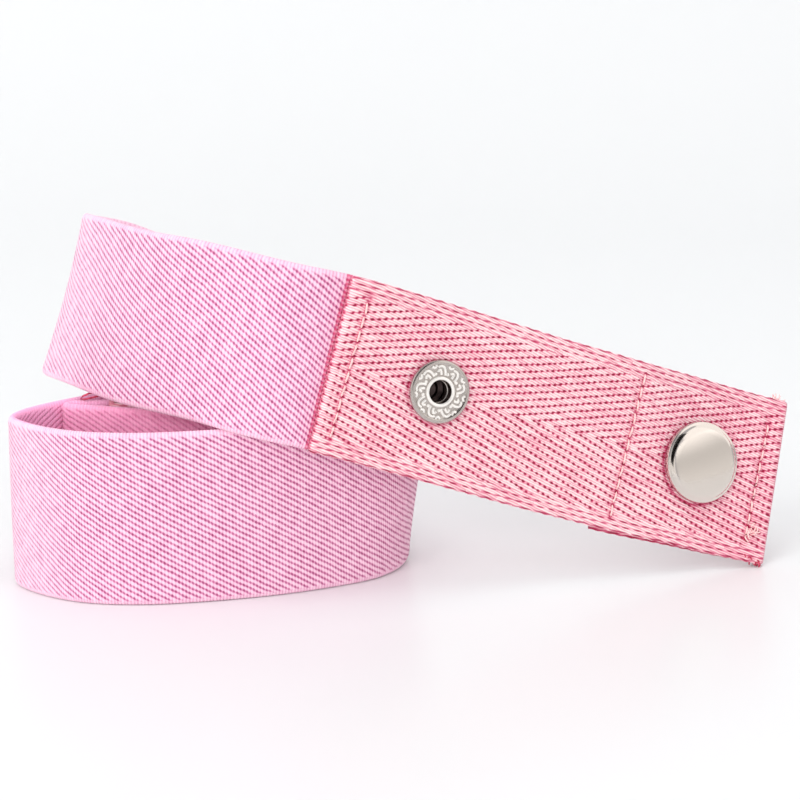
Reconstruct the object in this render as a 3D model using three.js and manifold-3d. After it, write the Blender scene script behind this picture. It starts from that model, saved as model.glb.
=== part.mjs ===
// Buckle-free elastic belt, loosely coiled: an elastic band with a webbing snap tab at each end.
// Millimetres, +Z up. The lower turns stand on the plane z = 0, and the outer tab points to +X.
import * as THREE from "three";
import { mergeVertices } from "three/addons/utils/BufferGeometryUtils.js";
import Module from "manifold-3d";

const wasm = await Module();
wasm.setup();

// The band and its layers
const BAND_WIDTH = 32;
const ELASTIC_THICKNESS = 1.6;
const WEBBING_THICKNESS = 1.1;
const EDGE_ROUNDING = 0.35;
const SEAM_GAP = 0.3;
const FOLD_GAP = 0.2;
const CURVE_STEP = 2.6;
const BEND_STEP_DEGREES = 14;

// The tabs, measured from the folded end
const TAB_LENGTH = 93.6;
const ELASTIC_OVERLAP = 7;
const HEM_LENGTH = 7.5;
const TURNED_BACK_LENGTH = 36;
const CAP_PLACE = 17.6;
const EYELET_PLACE = 72.9;
const SNAP_RAISE = 0.3;
const FOLD_STEPS = 8;

// How far the outer tab's turned-back layer lies askew: lower at its raw end, higher at the fold
const RAW_END_DROP = 0.6;
const FOLD_RISE = 0.25;

// The snaps
const CAP_DIAMETER = 15.3;
const CAP_HEIGHT = 2.3;
const CAP_RIM_HEIGHT = 0.7;
const CAP_RIM_ROUNDING = 0.35;
const POST_RADIUS = 2;
const POST_CLEARANCE = 0.3;
const POST_REACH = 0.5;
const SOCKET_DIAMETER = 12.6;
const SOCKET_HEIGHT = 2.8;
const SOCKET_BORE_RADIUS = 3.5;
const SOCKET_BORE_DEPTH = 1.9;
const SOCKET_MOUTH_WIDTH = 1;
const SOCKET_SLOPE = { width: 0.5, low: 0.7, high: 1.9 };
const EYELET_DIAMETER = 11.5;
const EYELET_HEIGHT = 0.9;
const EYELET_HOLE_RADIUS = 2.15;
const EYELET_WALL = 0.45;
const EYELET_TUBE_REACH = 0.3;
const EYELET_LIP = { half: 0.35, width: 0.7, drop: 0.2 };
const EYELET_FACE_DROP = 0.3;
const STUD_FLANGE_HEIGHT = 0.7;
const STUD_HEAD_RADIUS = 3.2;
const STUD_HEIGHT = 4.2;
const STUD_WALL = 0.5;
const STUD_CLEARANCE = 0.25;
const ROUND_SEGMENTS = 32;
const PLUG_REACH = 4.4;

// The cap's dome from its rim to its middle, as shares of its radius and of its height
const CAP_DOME = [
  { radius: 0.945, height: 0.66 },
  { radius: 0.8, height: 0.84 },
  { radius: 0.5, height: 0.95 },
];

// The eyelet's outer border from the webbing up and in: how far inside its edge, and above the webbing
const EYELET_BORDER = [
  { inside: 0.2, height: 0 },
  { inside: 0, height: 0.3 },
  { inside: 0.3, height: 0.75 },
  { inside: 0.9, height: 0.8 },
  { inside: 1.3, height: 0.55 },
];

// The stud's head from its crown to its neck: its radius and its height over the crown
const STUD_HEAD = [
  { radius: 2.3, height: 0 },
  { radius: 3.2, height: 0.7 },
  { radius: 3.2, height: 1.4 },
  { radius: 3, height: 2 },
];

// The coil's middle line, from the outer tab's folded end to the inner tab's.
// lift is the height of the band's middle, lean tilts its upper edge to +X, tip tilts it to +Y, in degrees.
const STATIONS = [
  // Outer tab
  { x: 70.8, y: 31.8, lift: 13.42, lean: 19.6, tip: 27 },
  { x: 61, y: 29.4, lift: 16.5, lean: 17, tip: 25 },
  { x: 51.8, y: 26.2, lift: 19.9, lean: 16, tip: 22 },
  { x: 42.7, y: 22.6, lift: 23.3, lean: 16, tip: 18 },
  { x: 33.6, y: 19.4, lift: 26.7, lean: 16, tip: 16 },
  { x: 24.8, y: 16.4, lift: 29.9, lean: 16, tip: 15 },
  { x: 15.9, y: 13.3, lift: 33.3, lean: 15, tip: 15 },
  { x: 7, y: 10.4, lift: 36.7, lean: 15, tip: 14 },
  { x: -2, y: 7.4, lift: 40.2, lean: 14, tip: 11 },
  { x: -11, y: 4.4, lift: 43.5, lean: 12, tip: 8 },
  // Upper front
  { x: -22.5, y: 2.5, lift: 46.5, lean: 12, tip: 5 },
  { x: -36.4, y: 8.2, lift: 48.8, lean: 12, tip: 5 },
  { x: -49.2, y: 18.8, lift: 49.2, lean: 13, tip: 8 },
  { x: -58.5, y: 30, lift: 49.6, lean: 14.5, tip: 5 },
  // Upper left bend
  { x: -62.1, y: 35.4, lift: 49.5, lean: 16, tip: 2 },
  { x: -63.3, y: 39.5, lift: 49, lean: 17, tip: 1 },
  { x: -61.6, y: 43.6, lift: 48.2, lean: 18.5, tip: 0 },
  { x: -57, y: 46.2, lift: 46.7, lean: 20, tip: 0 },
  // Upper back, running down to the right
  { x: -44, y: 47.6, lift: 41, lean: 22, tip: -2 },
  { x: -29, y: 47.4, lift: 35.2, lean: 24.5, tip: -5 },
  { x: -14, y: 45.4, lift: 28.2, lean: 24, tip: -9 },
  // Lower right bend
  { x: -2.5, y: 40, lift: 21.6, lean: 17, tip: -12 },
  { x: 2.9, y: 31.8, lift: 17.7, lean: 11, tip: -8 },
  { x: 1.5, y: 23.6, lift: 16.3, lean: 4.5, tip: -1 },
  { x: -4, y: 16.2, lift: 16.04, lean: 0, tip: 0 },
  // Lower front
  { x: -13, y: 10.4, lift: 16, lean: 0, tip: 0 },
  { x: -24, y: 5.4, lift: 16, lean: 0, tip: 0 },
  { x: -36, y: 2.1, lift: 16, lean: 0, tip: 0 },
  { x: -47, y: 0.8, lift: 16, lean: 0, tip: 0 },
  { x: -57.5, y: 2.2, lift: 16, lean: 0, tip: 0 },
  { x: -66, y: 7, lift: 16, lean: 0, tip: 0 },
  // Lower left bend
  { x: -70.5, y: 12.6, lift: 16, lean: 0, tip: 0 },
  { x: -69.6, y: 17.1, lift: 16, lean: 0, tip: 0 },
  { x: -64.8, y: 23.3, lift: 16, lean: 0, tip: 0 },
  // Lower back
  { x: -56.8, y: 30, lift: 16, lean: 0, tip: 0 },
  { x: -45, y: 35, lift: 16, lean: 0, tip: 0 },
  { x: -31, y: 37.4, lift: 16, lean: 0, tip: 0 },
  { x: -17, y: 36.6, lift: 16, lean: 0, tip: 0 },
  // Inner right bend
  { x: -6.5, y: 32.6, lift: 16, lean: 0, tip: 0 },
  { x: -2.8, y: 25.6, lift: 16, lean: 0, tip: 0 },
  { x: -6.4, y: 18.8, lift: 16, lean: 0, tip: 0 },
  // Inner front
  { x: -16, y: 14.8, lift: 16, lean: 0, tip: 0 },
  { x: -30, y: 14.4, lift: 16, lean: 0, tip: 0 },
  { x: -45, y: 17.8, lift: 16, lean: 0, tip: 0 },
  { x: -57, y: 21, lift: 16, lean: 0, tip: 0 },
  // Inner left fold
  { x: -61, y: 21.8, lift: 16, lean: 0, tip: 0 },
  { x: -62, y: 22.9, lift: 16, lean: 0, tip: 0 },
  { x: -60.9, y: 24.1, lift: 16, lean: 0, tip: 0 },
  // Inner back
  { x: -55.5, y: 25, lift: 16, lean: 0, tip: 0 },
  // Inner tab
  { x: -46, y: 27.6, lift: 16, lean: 0, tip: 0 },
  { x: -35, y: 30.2, lift: 16, lean: 0, tip: 0 },
  { x: -24, y: 31.4, lift: 16, lean: 0, tip: 0 },
  { x: -14.5, y: 31, lift: 16, lean: 0, tip: 0 },
  { x: -9.8, y: 28.6, lift: 16, lean: 0, tip: 0 },
  { x: -9.8, y: 25.4, lift: 16, lean: 0, tip: 0 },
  { x: -13.8, y: 23.1, lift: 16, lean: 0, tip: 0 },
  { x: -24, y: 22.9, lift: 16, lean: 0, tip: 0 },
  { x: -38, y: 24.1, lift: 16, lean: 0, tip: 0 },
  { x: -56, y: 25.4, lift: 16, lean: 0, tip: 0 },
];
const INNER_JOINT = new THREE.Vector3(-53.6, 25.4, 16);

const middleLine = new THREE.CatmullRomCurve3(STATIONS.map((s) => new THREE.Vector3(s.x, s.y, s.lift)));
middleLine.arcLengthDivisions = 3000;
const tilts = new THREE.CatmullRomCurve3(
  STATIONS.map((s) => new THREE.Vector3(s.lean, s.tip, 0)),
  false,
  "catmullrom",
  0.5,
);

// The band's frame at a distance along the middle line: along, across (upwards) and outward from the coil.
function frameAt(distance) {
  const t = middleLine.getUtoTmapping(0, distance);
  const along = middleLine.getTangent(t);
  const tilt = tilts.getPoint(t);
  const across = new THREE.Vector3(
    Math.tan(THREE.MathUtils.degToRad(tilt.x)),
    Math.tan(THREE.MathUtils.degToRad(tilt.y)),
    1,
  );
  across.addScaledVector(along, -across.dot(along)).normalize();
  const outward = new THREE.Vector3().crossVectors(across, along);
  return { point: middleLine.getPoint(t), along, across, outward };
}

// The distance along the middle line that lies nearest to a point, searched from a given start.
function distanceNear(target, from) {
  const length = middleLine.getLength();
  let best = from;
  for (let distance = from; distance < length; distance += 0.1) {
    if (frameAt(distance).point.distanceTo(target) < frameAt(best).point.distanceTo(target)) {
      best = distance;
    }
  }
  return best;
}

const INNER_JOINT_DISTANCE = distanceNear(INNER_JOINT, middleLine.getLength() - 2 * TAB_LENGTH);
const BELT_LENGTH = INNER_JOINT_DISTANCE + TAB_LENGTH;

// Distances between two ends, closer together where the band bends.
function stepsBetween(start, end) {
  const distances = [start];
  const maxTurn = THREE.MathUtils.degToRad(BEND_STEP_DEGREES);
  let last = start;
  for (let distance = start; distance < end - 0.5; distance += 0.2) {
    const turn = frameAt(distance).along.angleTo(frameAt(last).along);
    if (distance - last >= CURVE_STEP || (turn >= maxTurn && distance - last >= 0.5)) {
      distances.push(distance);
      last = distance;
    }
  }
  distances.push(end);
  return distances;
}

// A closed band through rings of section corners.
function loft(rings) {
  const corners = rings[0].length;
  const positions = rings.flat().flatMap((p) => [p.x, p.y, p.z]);
  const index = [];
  for (let ring = 0; ring < rings.length - 1; ring++) {
    for (let i = 0; i < corners; i++) {
      const a = ring * corners + i;
      const b = ring * corners + ((i + 1) % corners);
      index.push(a, a + corners, b, b, a + corners, b + corners);
    }
  }
  const lastRing = (rings.length - 1) * corners;
  for (let i = 1; i < corners - 1; i++) {
    index.push(0, i, i + 1, lastRing, lastRing + i + 1, lastRing + i);
  }
  const geometry = new THREE.BufferGeometry();
  geometry.setAttribute("position", new THREE.Float32BufferAttribute(positions, 3));
  geometry.setIndex(index);
  geometry.computeVertexNormals();
  return geometry;
}

// One ring of a band: a rectangle with rounded edges, its width across and its thickness along normal.
function sectionRing(centre, across, normal, thickness) {
  const w = BAND_WIDTH / 2;
  const h = thickness / 2;
  const r = EDGE_ROUNDING;
  const outline = [
    [w, h - r],
    [w - r, h],
    [r - w, h],
    [-w, h - r],
    [-w, r - h],
    [r - w, -h],
    [w - r, -h],
    [w, r - h],
  ];
  return outline.map(([u, v]) => centre.clone().addScaledVector(across, u).addScaledVector(normal, v));
}

function elasticGeometry() {
  const start = TAB_LENGTH - ELASTIC_OVERLAP;
  const end = INNER_JOINT_DISTANCE + ELASTIC_OVERLAP;
  const rings = stepsBetween(start, end).map((distance) => {
    const { point, across, outward } = frameAt(distance);
    return sectionRing(point, across, outward, ELASTIC_THICKNESS);
  });
  return loft(rings);
}

// A tab's frame at a distance from its folded end; along then points to the elastic.
function outerTabFrame(distance) {
  return frameAt(distance);
}

function innerTabFrame(distance) {
  const frame = frameAt(BELT_LENGTH - distance);
  frame.along.negate();
  frame.across.negate();
  return frame;
}

const LAYER_STEP = WEBBING_THICKNESS + FOLD_GAP;
const HEM_OFFSET = (ELASTIC_THICKNESS + WEBBING_THICKNESS) / 2 + SEAM_GAP;
const FRONT_OFFSET = HEM_OFFSET + LAYER_STEP;
const TURNED_BACK_OFFSET = FRONT_OFFSET - LAYER_STEP;

// The webbing strip: turned back behind the end, a little askew, then forward along the front, and
// hemmed under at the joint.
function webbingGeometry(tabFrame, rawEndDrop, foldRise) {
  const strip = [];
  const foldRadius = LAYER_STEP / 2;
  const endReach = foldRadius + WEBBING_THICKNESS / 2;
  const layer = (start, end, offset, angle, slideStart = 0, slideEnd = 0) => {
    const count = Math.ceil(Math.abs(end - start) / CURVE_STEP);
    for (let i = 0; i <= count; i++) {
      const distance = THREE.MathUtils.lerp(start, end, i / count);
      strip.push({ distance, offset, angle, slide: THREE.MathUtils.lerp(slideStart, slideEnd, i / count) });
    }
  };
  const fold = (centre, middleOffset, startAngle, slideStart = 0) => {
    for (let i = 1; i < FOLD_STEPS; i++) {
      const angle = startAngle - (Math.PI * i) / FOLD_STEPS;
      strip.push({
        distance: centre - foldRadius * Math.sin(angle),
        offset: middleOffset + foldRadius * Math.cos(angle),
        angle,
        slide: THREE.MathUtils.lerp(slideStart, 0, i / FOLD_STEPS),
      });
    }
  };
  layer(TURNED_BACK_LENGTH, endReach, TURNED_BACK_OFFSET, Math.PI, -rawEndDrop, foldRise);
  fold(endReach, FRONT_OFFSET - foldRadius, Math.PI, foldRise);
  layer(endReach, TAB_LENGTH - endReach, FRONT_OFFSET, 0);
  fold(TAB_LENGTH - endReach, HEM_OFFSET + foldRadius, 0);
  layer(TAB_LENGTH - endReach, TAB_LENGTH - HEM_LENGTH, HEM_OFFSET, -Math.PI);
  const rings = strip.map(({ distance, offset, angle, slide }) => {
    const { point, along, across, outward } = tabFrame(distance);
    const centre = point.addScaledVector(outward, offset).addScaledVector(across, slide);
    const normal = outward.clone().multiplyScalar(Math.cos(angle)).addScaledVector(along, -Math.sin(angle));
    return sectionRing(centre, across, normal, WEBBING_THICKNESS);
  });
  return loft(rings);
}

function solidOf(geometry) {
  const bare = geometry.clone();
  bare.deleteAttribute("normal");
  bare.deleteAttribute("uv");
  const merged = mergeVertices(bare, 1e-4);
  return new wasm.Manifold(
    new wasm.Mesh({
      numProp: 3,
      vertProperties: new Float32Array(merged.attributes.position.array),
      triVerts: new Uint32Array(merged.index.array),
    }),
  );
}

function geometryOf(solid) {
  const { vertProperties, triVerts } = solid.getMesh();
  const geometry = new THREE.BufferGeometry();
  geometry.setAttribute("position", new THREE.BufferAttribute(vertProperties, 3));
  geometry.setIndex(new THREE.BufferAttribute(triVerts, 1));
  geometry.computeVertexNormals();
  return geometry;
}

// Where a snap sits: on the tab's middle, its axis along the outward normal, its origin on the front layer.
function snapPlace(tabFrame, distance, raise) {
  const { point, along, across, outward } = tabFrame(distance);
  const origin = point.addScaledVector(outward, FRONT_OFFSET).addScaledVector(across, raise);
  return new THREE.Matrix4().makeBasis(across, along, outward).setPosition(origin);
}

// A round piece about its axis from [radius, height] points that go round its section.
function turned(profile) {
  const points = profile.map(([radius, height]) => new THREE.Vector2(radius, height));
  const geometry = new THREE.LatheGeometry(points, ROUND_SEGMENTS);
  geometry.rotateX(Math.PI / 2);
  return geometry;
}

const HALF_WEBBING = WEBBING_THICKNESS / 2;
const FRONT_SEAT = HALF_WEBBING + SEAM_GAP;
const DOUBLE_BACK_SEAT = -(HALF_WEBBING + LAYER_STEP + SEAM_GAP);
const SINGLE_BACK_SEAT = -(HALF_WEBBING + SEAM_GAP);

function capGeometry() {
  const r = CAP_DIAMETER / 2;
  const foot = DOUBLE_BACK_SEAT - POST_REACH;
  return turned([
    [0, foot],
    [POST_RADIUS, foot],
    [POST_RADIUS, FRONT_SEAT],
    [r - CAP_RIM_ROUNDING, FRONT_SEAT],
    [r, FRONT_SEAT + CAP_RIM_ROUNDING],
    [r, FRONT_SEAT + CAP_RIM_HEIGHT],
    ...CAP_DOME.map(({ radius, height }) => [radius * r, FRONT_SEAT + height * CAP_HEIGHT]),
    [0, FRONT_SEAT + CAP_HEIGHT],
  ]);
}

function socketGeometry() {
  const r = SOCKET_DIAMETER / 2;
  const back = DOUBLE_BACK_SEAT - SOCKET_HEIGHT;
  const hole = POST_RADIUS + POST_CLEARANCE;
  const bore = back + SOCKET_BORE_DEPTH;
  return turned([
    [hole, DOUBLE_BACK_SEAT],
    [hole, bore],
    [SOCKET_BORE_RADIUS, bore],
    [SOCKET_BORE_RADIUS, back],
    [SOCKET_BORE_RADIUS + SOCKET_MOUTH_WIDTH, back],
    [r - SOCKET_SLOPE.width, back + SOCKET_SLOPE.low],
    [r, back + SOCKET_SLOPE.high],
    [r, DOUBLE_BACK_SEAT],
    [hole, DOUBLE_BACK_SEAT],
  ]);
}

function eyeletGeometry() {
  const r = EYELET_DIAMETER / 2;
  const top = FRONT_SEAT + EYELET_HEIGHT;
  const tube = EYELET_HOLE_RADIUS + EYELET_WALL;
  const foot = SINGLE_BACK_SEAT - STUD_FLANGE_HEIGHT - EYELET_TUBE_REACH;
  return turned([
    [EYELET_HOLE_RADIUS, top - EYELET_LIP.drop],
    [EYELET_HOLE_RADIUS, foot],
    [tube, foot],
    [tube, FRONT_SEAT],
    ...EYELET_BORDER.map(({ inside, height }) => [r - inside, FRONT_SEAT + height]),
    [EYELET_HOLE_RADIUS + EYELET_LIP.width, top - EYELET_FACE_DROP],
    [EYELET_HOLE_RADIUS + EYELET_LIP.half, top],
    [EYELET_HOLE_RADIUS, top - EYELET_LIP.drop],
  ]);
}

function studGeometry() {
  const flange = EYELET_DIAMETER / 2;
  const inner = EYELET_HOLE_RADIUS + EYELET_WALL + STUD_CLEARANCE;
  const flangeBack = SINGLE_BACK_SEAT - STUD_FLANGE_HEIGHT;
  const back = SINGLE_BACK_SEAT - STUD_HEIGHT;
  const cavity = STUD_HEAD_RADIUS - STUD_WALL;
  const bevel = STUD_FLANGE_HEIGHT / 3;
  return turned([
    [inner, SINGLE_BACK_SEAT],
    [cavity, flangeBack - STUD_WALL],
    [cavity, back + 2 * STUD_WALL],
    [cavity - STUD_WALL, back + STUD_WALL],
    [0, back + STUD_WALL],
    [0, back],
    ...STUD_HEAD.map(({ radius, height }) => [radius, back + height]),
    [STUD_HEAD_RADIUS, flangeBack],
    [flange - bevel, flangeBack],
    [flange, flangeBack + bevel],
    [flange, SINGLE_BACK_SEAT],
    [inner, SINGLE_BACK_SEAT],
  ]);
}

// A plug that clears a post through the webbing.
function holePlug(place, radius) {
  const plug = new THREE.CylinderGeometry(radius, radius, 2 * PLUG_REACH, ROUND_SEGMENTS);
  return plug.rotateX(Math.PI / 2).applyMatrix4(place);
}

const elasticPink = { color: 0xfac6e2, roughness: 0.85, metalness: 0 };
const webbingPink = { color: 0xf7bec8, roughness: 0.9, metalness: 0 };
const satinNickel = { color: 0xd2c8be, roughness: 0.32, metalness: 1 };

function named(name, geometry, look) {
  const mesh = new THREE.Mesh(geometry, new THREE.MeshStandardMaterial(look));
  mesh.name = name;
  return mesh;
}

// A tab with its four snap pieces, named by its place on the coil.
function tab(prefix, tabFrame, rawEndDrop = 0, foldRise = 0) {
  const group = new THREE.Group();
  const capPlace = snapPlace(tabFrame, CAP_PLACE, SNAP_RAISE);
  const eyeletPlace = snapPlace(tabFrame, EYELET_PLACE, SNAP_RAISE);
  const webbing = solidOf(webbingGeometry(tabFrame, rawEndDrop, foldRise))
    .subtract(solidOf(holePlug(capPlace, POST_RADIUS + POST_CLEARANCE)))
    .subtract(solidOf(holePlug(eyeletPlace, EYELET_HOLE_RADIUS + EYELET_WALL + POST_CLEARANCE)));
  group.add(named(prefix + "_tab_webbing", geometryOf(webbing), webbingPink));
  const snaps = [
    { name: "snap_cap", geometry: capGeometry(), place: capPlace },
    { name: "snap_socket", geometry: socketGeometry(), place: capPlace },
    { name: "snap_eyelet", geometry: eyeletGeometry(), place: eyeletPlace },
    { name: "snap_stud", geometry: studGeometry(), place: eyeletPlace },
  ];
  for (const { name, geometry, place } of snaps) {
    const mesh = named(prefix + "_" + name, geometry, satinNickel);
    mesh.applyMatrix4(place);
    group.add(mesh);
  }
  return group;
}

const belt = new THREE.Group();
belt.add(named("elastic_band", elasticGeometry(), elasticPink));
belt.add(tab("outer", outerTabFrame, RAW_END_DROP, FOLD_RISE));
belt.add(tab("inner", innerTabFrame));

// The origin is under the middle of the belt, on the plane it stands on.
const box = new THREE.Box3().setFromObject(belt, true);
const middle = box.getCenter(new THREE.Vector3());
belt.position.set(-middle.x, -middle.y, -box.min.z);

export default belt;
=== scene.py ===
"""Looks of the coiled buckle-free elastic belt: woven elastic, webbing snap tabs, metal snaps and studio."""
import logging
import math
import random
from dataclasses import dataclass, field
from enum import Enum

import bmesh
import bpy
import numpy as np
from mathutils import Matrix, Vector


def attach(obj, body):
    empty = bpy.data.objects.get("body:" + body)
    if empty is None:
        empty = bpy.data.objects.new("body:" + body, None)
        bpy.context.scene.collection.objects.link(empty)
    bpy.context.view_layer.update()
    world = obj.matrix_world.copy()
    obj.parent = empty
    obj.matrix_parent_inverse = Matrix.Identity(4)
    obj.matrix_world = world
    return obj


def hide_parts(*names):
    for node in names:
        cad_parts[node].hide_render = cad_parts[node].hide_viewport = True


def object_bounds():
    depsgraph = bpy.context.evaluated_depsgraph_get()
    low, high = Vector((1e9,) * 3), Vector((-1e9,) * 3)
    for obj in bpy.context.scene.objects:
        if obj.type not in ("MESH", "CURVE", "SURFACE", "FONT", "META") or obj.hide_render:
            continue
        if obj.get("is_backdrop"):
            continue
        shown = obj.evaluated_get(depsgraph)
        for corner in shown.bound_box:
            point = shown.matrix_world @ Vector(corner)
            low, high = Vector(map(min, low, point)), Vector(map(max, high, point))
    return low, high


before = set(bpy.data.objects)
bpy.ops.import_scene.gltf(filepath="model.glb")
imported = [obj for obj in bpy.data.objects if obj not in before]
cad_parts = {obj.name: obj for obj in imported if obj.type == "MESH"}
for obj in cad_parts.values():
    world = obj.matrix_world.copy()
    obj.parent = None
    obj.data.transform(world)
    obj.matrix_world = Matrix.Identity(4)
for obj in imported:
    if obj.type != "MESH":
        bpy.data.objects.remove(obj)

log = logging.getLogger("belt")

MM = 0.001
BAND_WIDTH = 32 * MM
ELASTIC_THICKNESS = 1.6 * MM
WEBBING_THICKNESS = 1.1 * MM
HALF_WEBBING = WEBBING_THICKNESS / 2
SEAM_GAP = 0.3 * MM
LAYER_STEP = WEBBING_THICKNESS + 0.2 * MM
TAB_LENGTH = 93.6 * MM
ELASTIC_OVERLAP = 7 * MM
HEM_LENGTH = 7.5 * MM
TURNED_BACK_LENGTH = 36 * MM
BOTH_FOLDS_LENGTH = 2 * MM
HEM_OFFSET = ELASTIC_THICKNESS / 2 + HALF_WEBBING + SEAM_GAP
FRONT_OFFSET = HEM_OFFSET + LAYER_STEP
TURNED_BACK_OFFSET = FRONT_OFFSET - LAYER_STEP
CAP_PLACE = 17.6 * MM
CAP_RADIUS = 7.65 * MM
EYELET_PLACE = 72.9 * MM
EYELET_RADIUS = 5.75 * MM
SNAP_RAISE = 0.3 * MM
INNER_JOINT_DISTANCE = 493.934 * MM
BELT_LENGTH = INNER_JOINT_DISTANCE + TAB_LENGTH
ORIGIN_SHIFT = Vector((-1.537, -23.987, 0.003)) * MM

# x, y, lift, lean and tip of the raised stations of the coil's middle line, in millimetres and degrees
RAISED_STATIONS = (
    # Outer tab
    (70.8, 31.8, 13.42, 19.6, 27), (61, 29.4, 16.5, 17, 25), (51.8, 26.2, 19.9, 16, 22),
    (42.7, 22.6, 23.3, 16, 18), (33.6, 19.4, 26.7, 16, 16), (24.8, 16.4, 29.9, 16, 15),
    (15.9, 13.3, 33.3, 15, 15), (7, 10.4, 36.7, 15, 14), (-2, 7.4, 40.2, 14, 11), (-11, 4.4, 43.5, 12, 8),
    # Upper front
    (-22.5, 2.5, 46.5, 12, 5), (-36.4, 8.2, 48.8, 12, 5), (-49.2, 18.8, 49.2, 13, 8),
    (-58.5, 30, 49.6, 14.5, 5),
    # Upper left bend
    (-62.1, 35.4, 49.5, 16, 2), (-63.3, 39.5, 49, 17, 1), (-61.6, 43.6, 48.2, 18.5, 0),
    (-57, 46.2, 46.7, 20, 0),
    # Upper back
    (-44, 47.6, 41, 22, -2), (-29, 47.4, 35.2, 24.5, -5), (-14, 45.4, 28.2, 24, -9),
    # Lower right bend
    (-2.5, 40, 21.6, 17, -12), (2.9, 31.8, 17.7, 11, -8), (1.5, 23.6, 16.3, 4.5, -1), (-4, 16.2, 16.04, 0, 0),
)

# x and y of the stations where the band stands on the floor, in millimetres
FLOOR_STATIONS = (
    # Lower front
    (-13, 10.4), (-24, 5.4), (-36, 2.1), (-47, 0.8), (-57.5, 2.2), (-66, 7),
    # Lower left bend and lower back
    (-70.5, 12.6), (-69.6, 17.1), (-64.8, 23.3), (-56.8, 30), (-45, 35), (-31, 37.4), (-17, 36.6),
    # Inner right bend and inner front
    (-6.5, 32.6), (-2.8, 25.6), (-6.4, 18.8), (-16, 14.8), (-30, 14.4), (-45, 17.8), (-57, 21),
    # Inner left fold and inner back
    (-61, 21.8), (-62, 22.9), (-60.9, 24.1), (-55.5, 25),
    # Inner tab
    (-46, 27.6), (-35, 30.2), (-24, 31.4), (-14.5, 31), (-9.8, 28.6), (-9.8, 25.4), (-13.8, 23.1),
    (-24, 22.9), (-38, 24.1), (-56, 25.4),
)

# How tight the elastic's picks lie at distances along the belt in millimetres; 1 is the plain weave
WEAVE_TIGHTNESS = (
    # Upper front and its left bend
    (86, 1.06), (98, 1.064), (102, 1.09), (107, 1.015), (113, 0.946), (119.5, 0.9), (126.5, 0.857),
    (134.5, 0.904), (144, 0.966), (170, 1.0),
    # Lower front from right to left
    (245, 1.1), (258.5, 1.17), (265, 1.21), (273, 1.14), (281, 1.086), (288.5, 1.057), (302.5, 1.049),
    (309.5, 1.088), (317, 1.21), (323, 1.38), (331, 1.38),
    # Inside of the coil
    (345, 1.05), (510, 1.05),
)


def unit(vectors: np.ndarray) -> np.ndarray:
    """The same vectors, one unit long."""
    return vectors / np.linalg.norm(vectors, axis=-1, keepdims=True)


def smooth_step(x: np.ndarray, low: float, high: float) -> np.ndarray:
    """0 below low, 1 above high and a smooth rise between them."""
    t = np.clip((x - low) / (high - low), 0, 1)
    return t * t * (3 - 2 * t)


def bell(offset: np.ndarray, width: float) -> np.ndarray:
    """A bell curve of the given width, 1 where the offset is 0."""
    return np.exp(-((offset / width) ** 2))


@dataclass
class BandFrames:
    """Places along a band: points with their along, across and outward directions, one row each."""

    point: np.ndarray
    along: np.ndarray
    across: np.ndarray
    outward: np.ndarray


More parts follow.
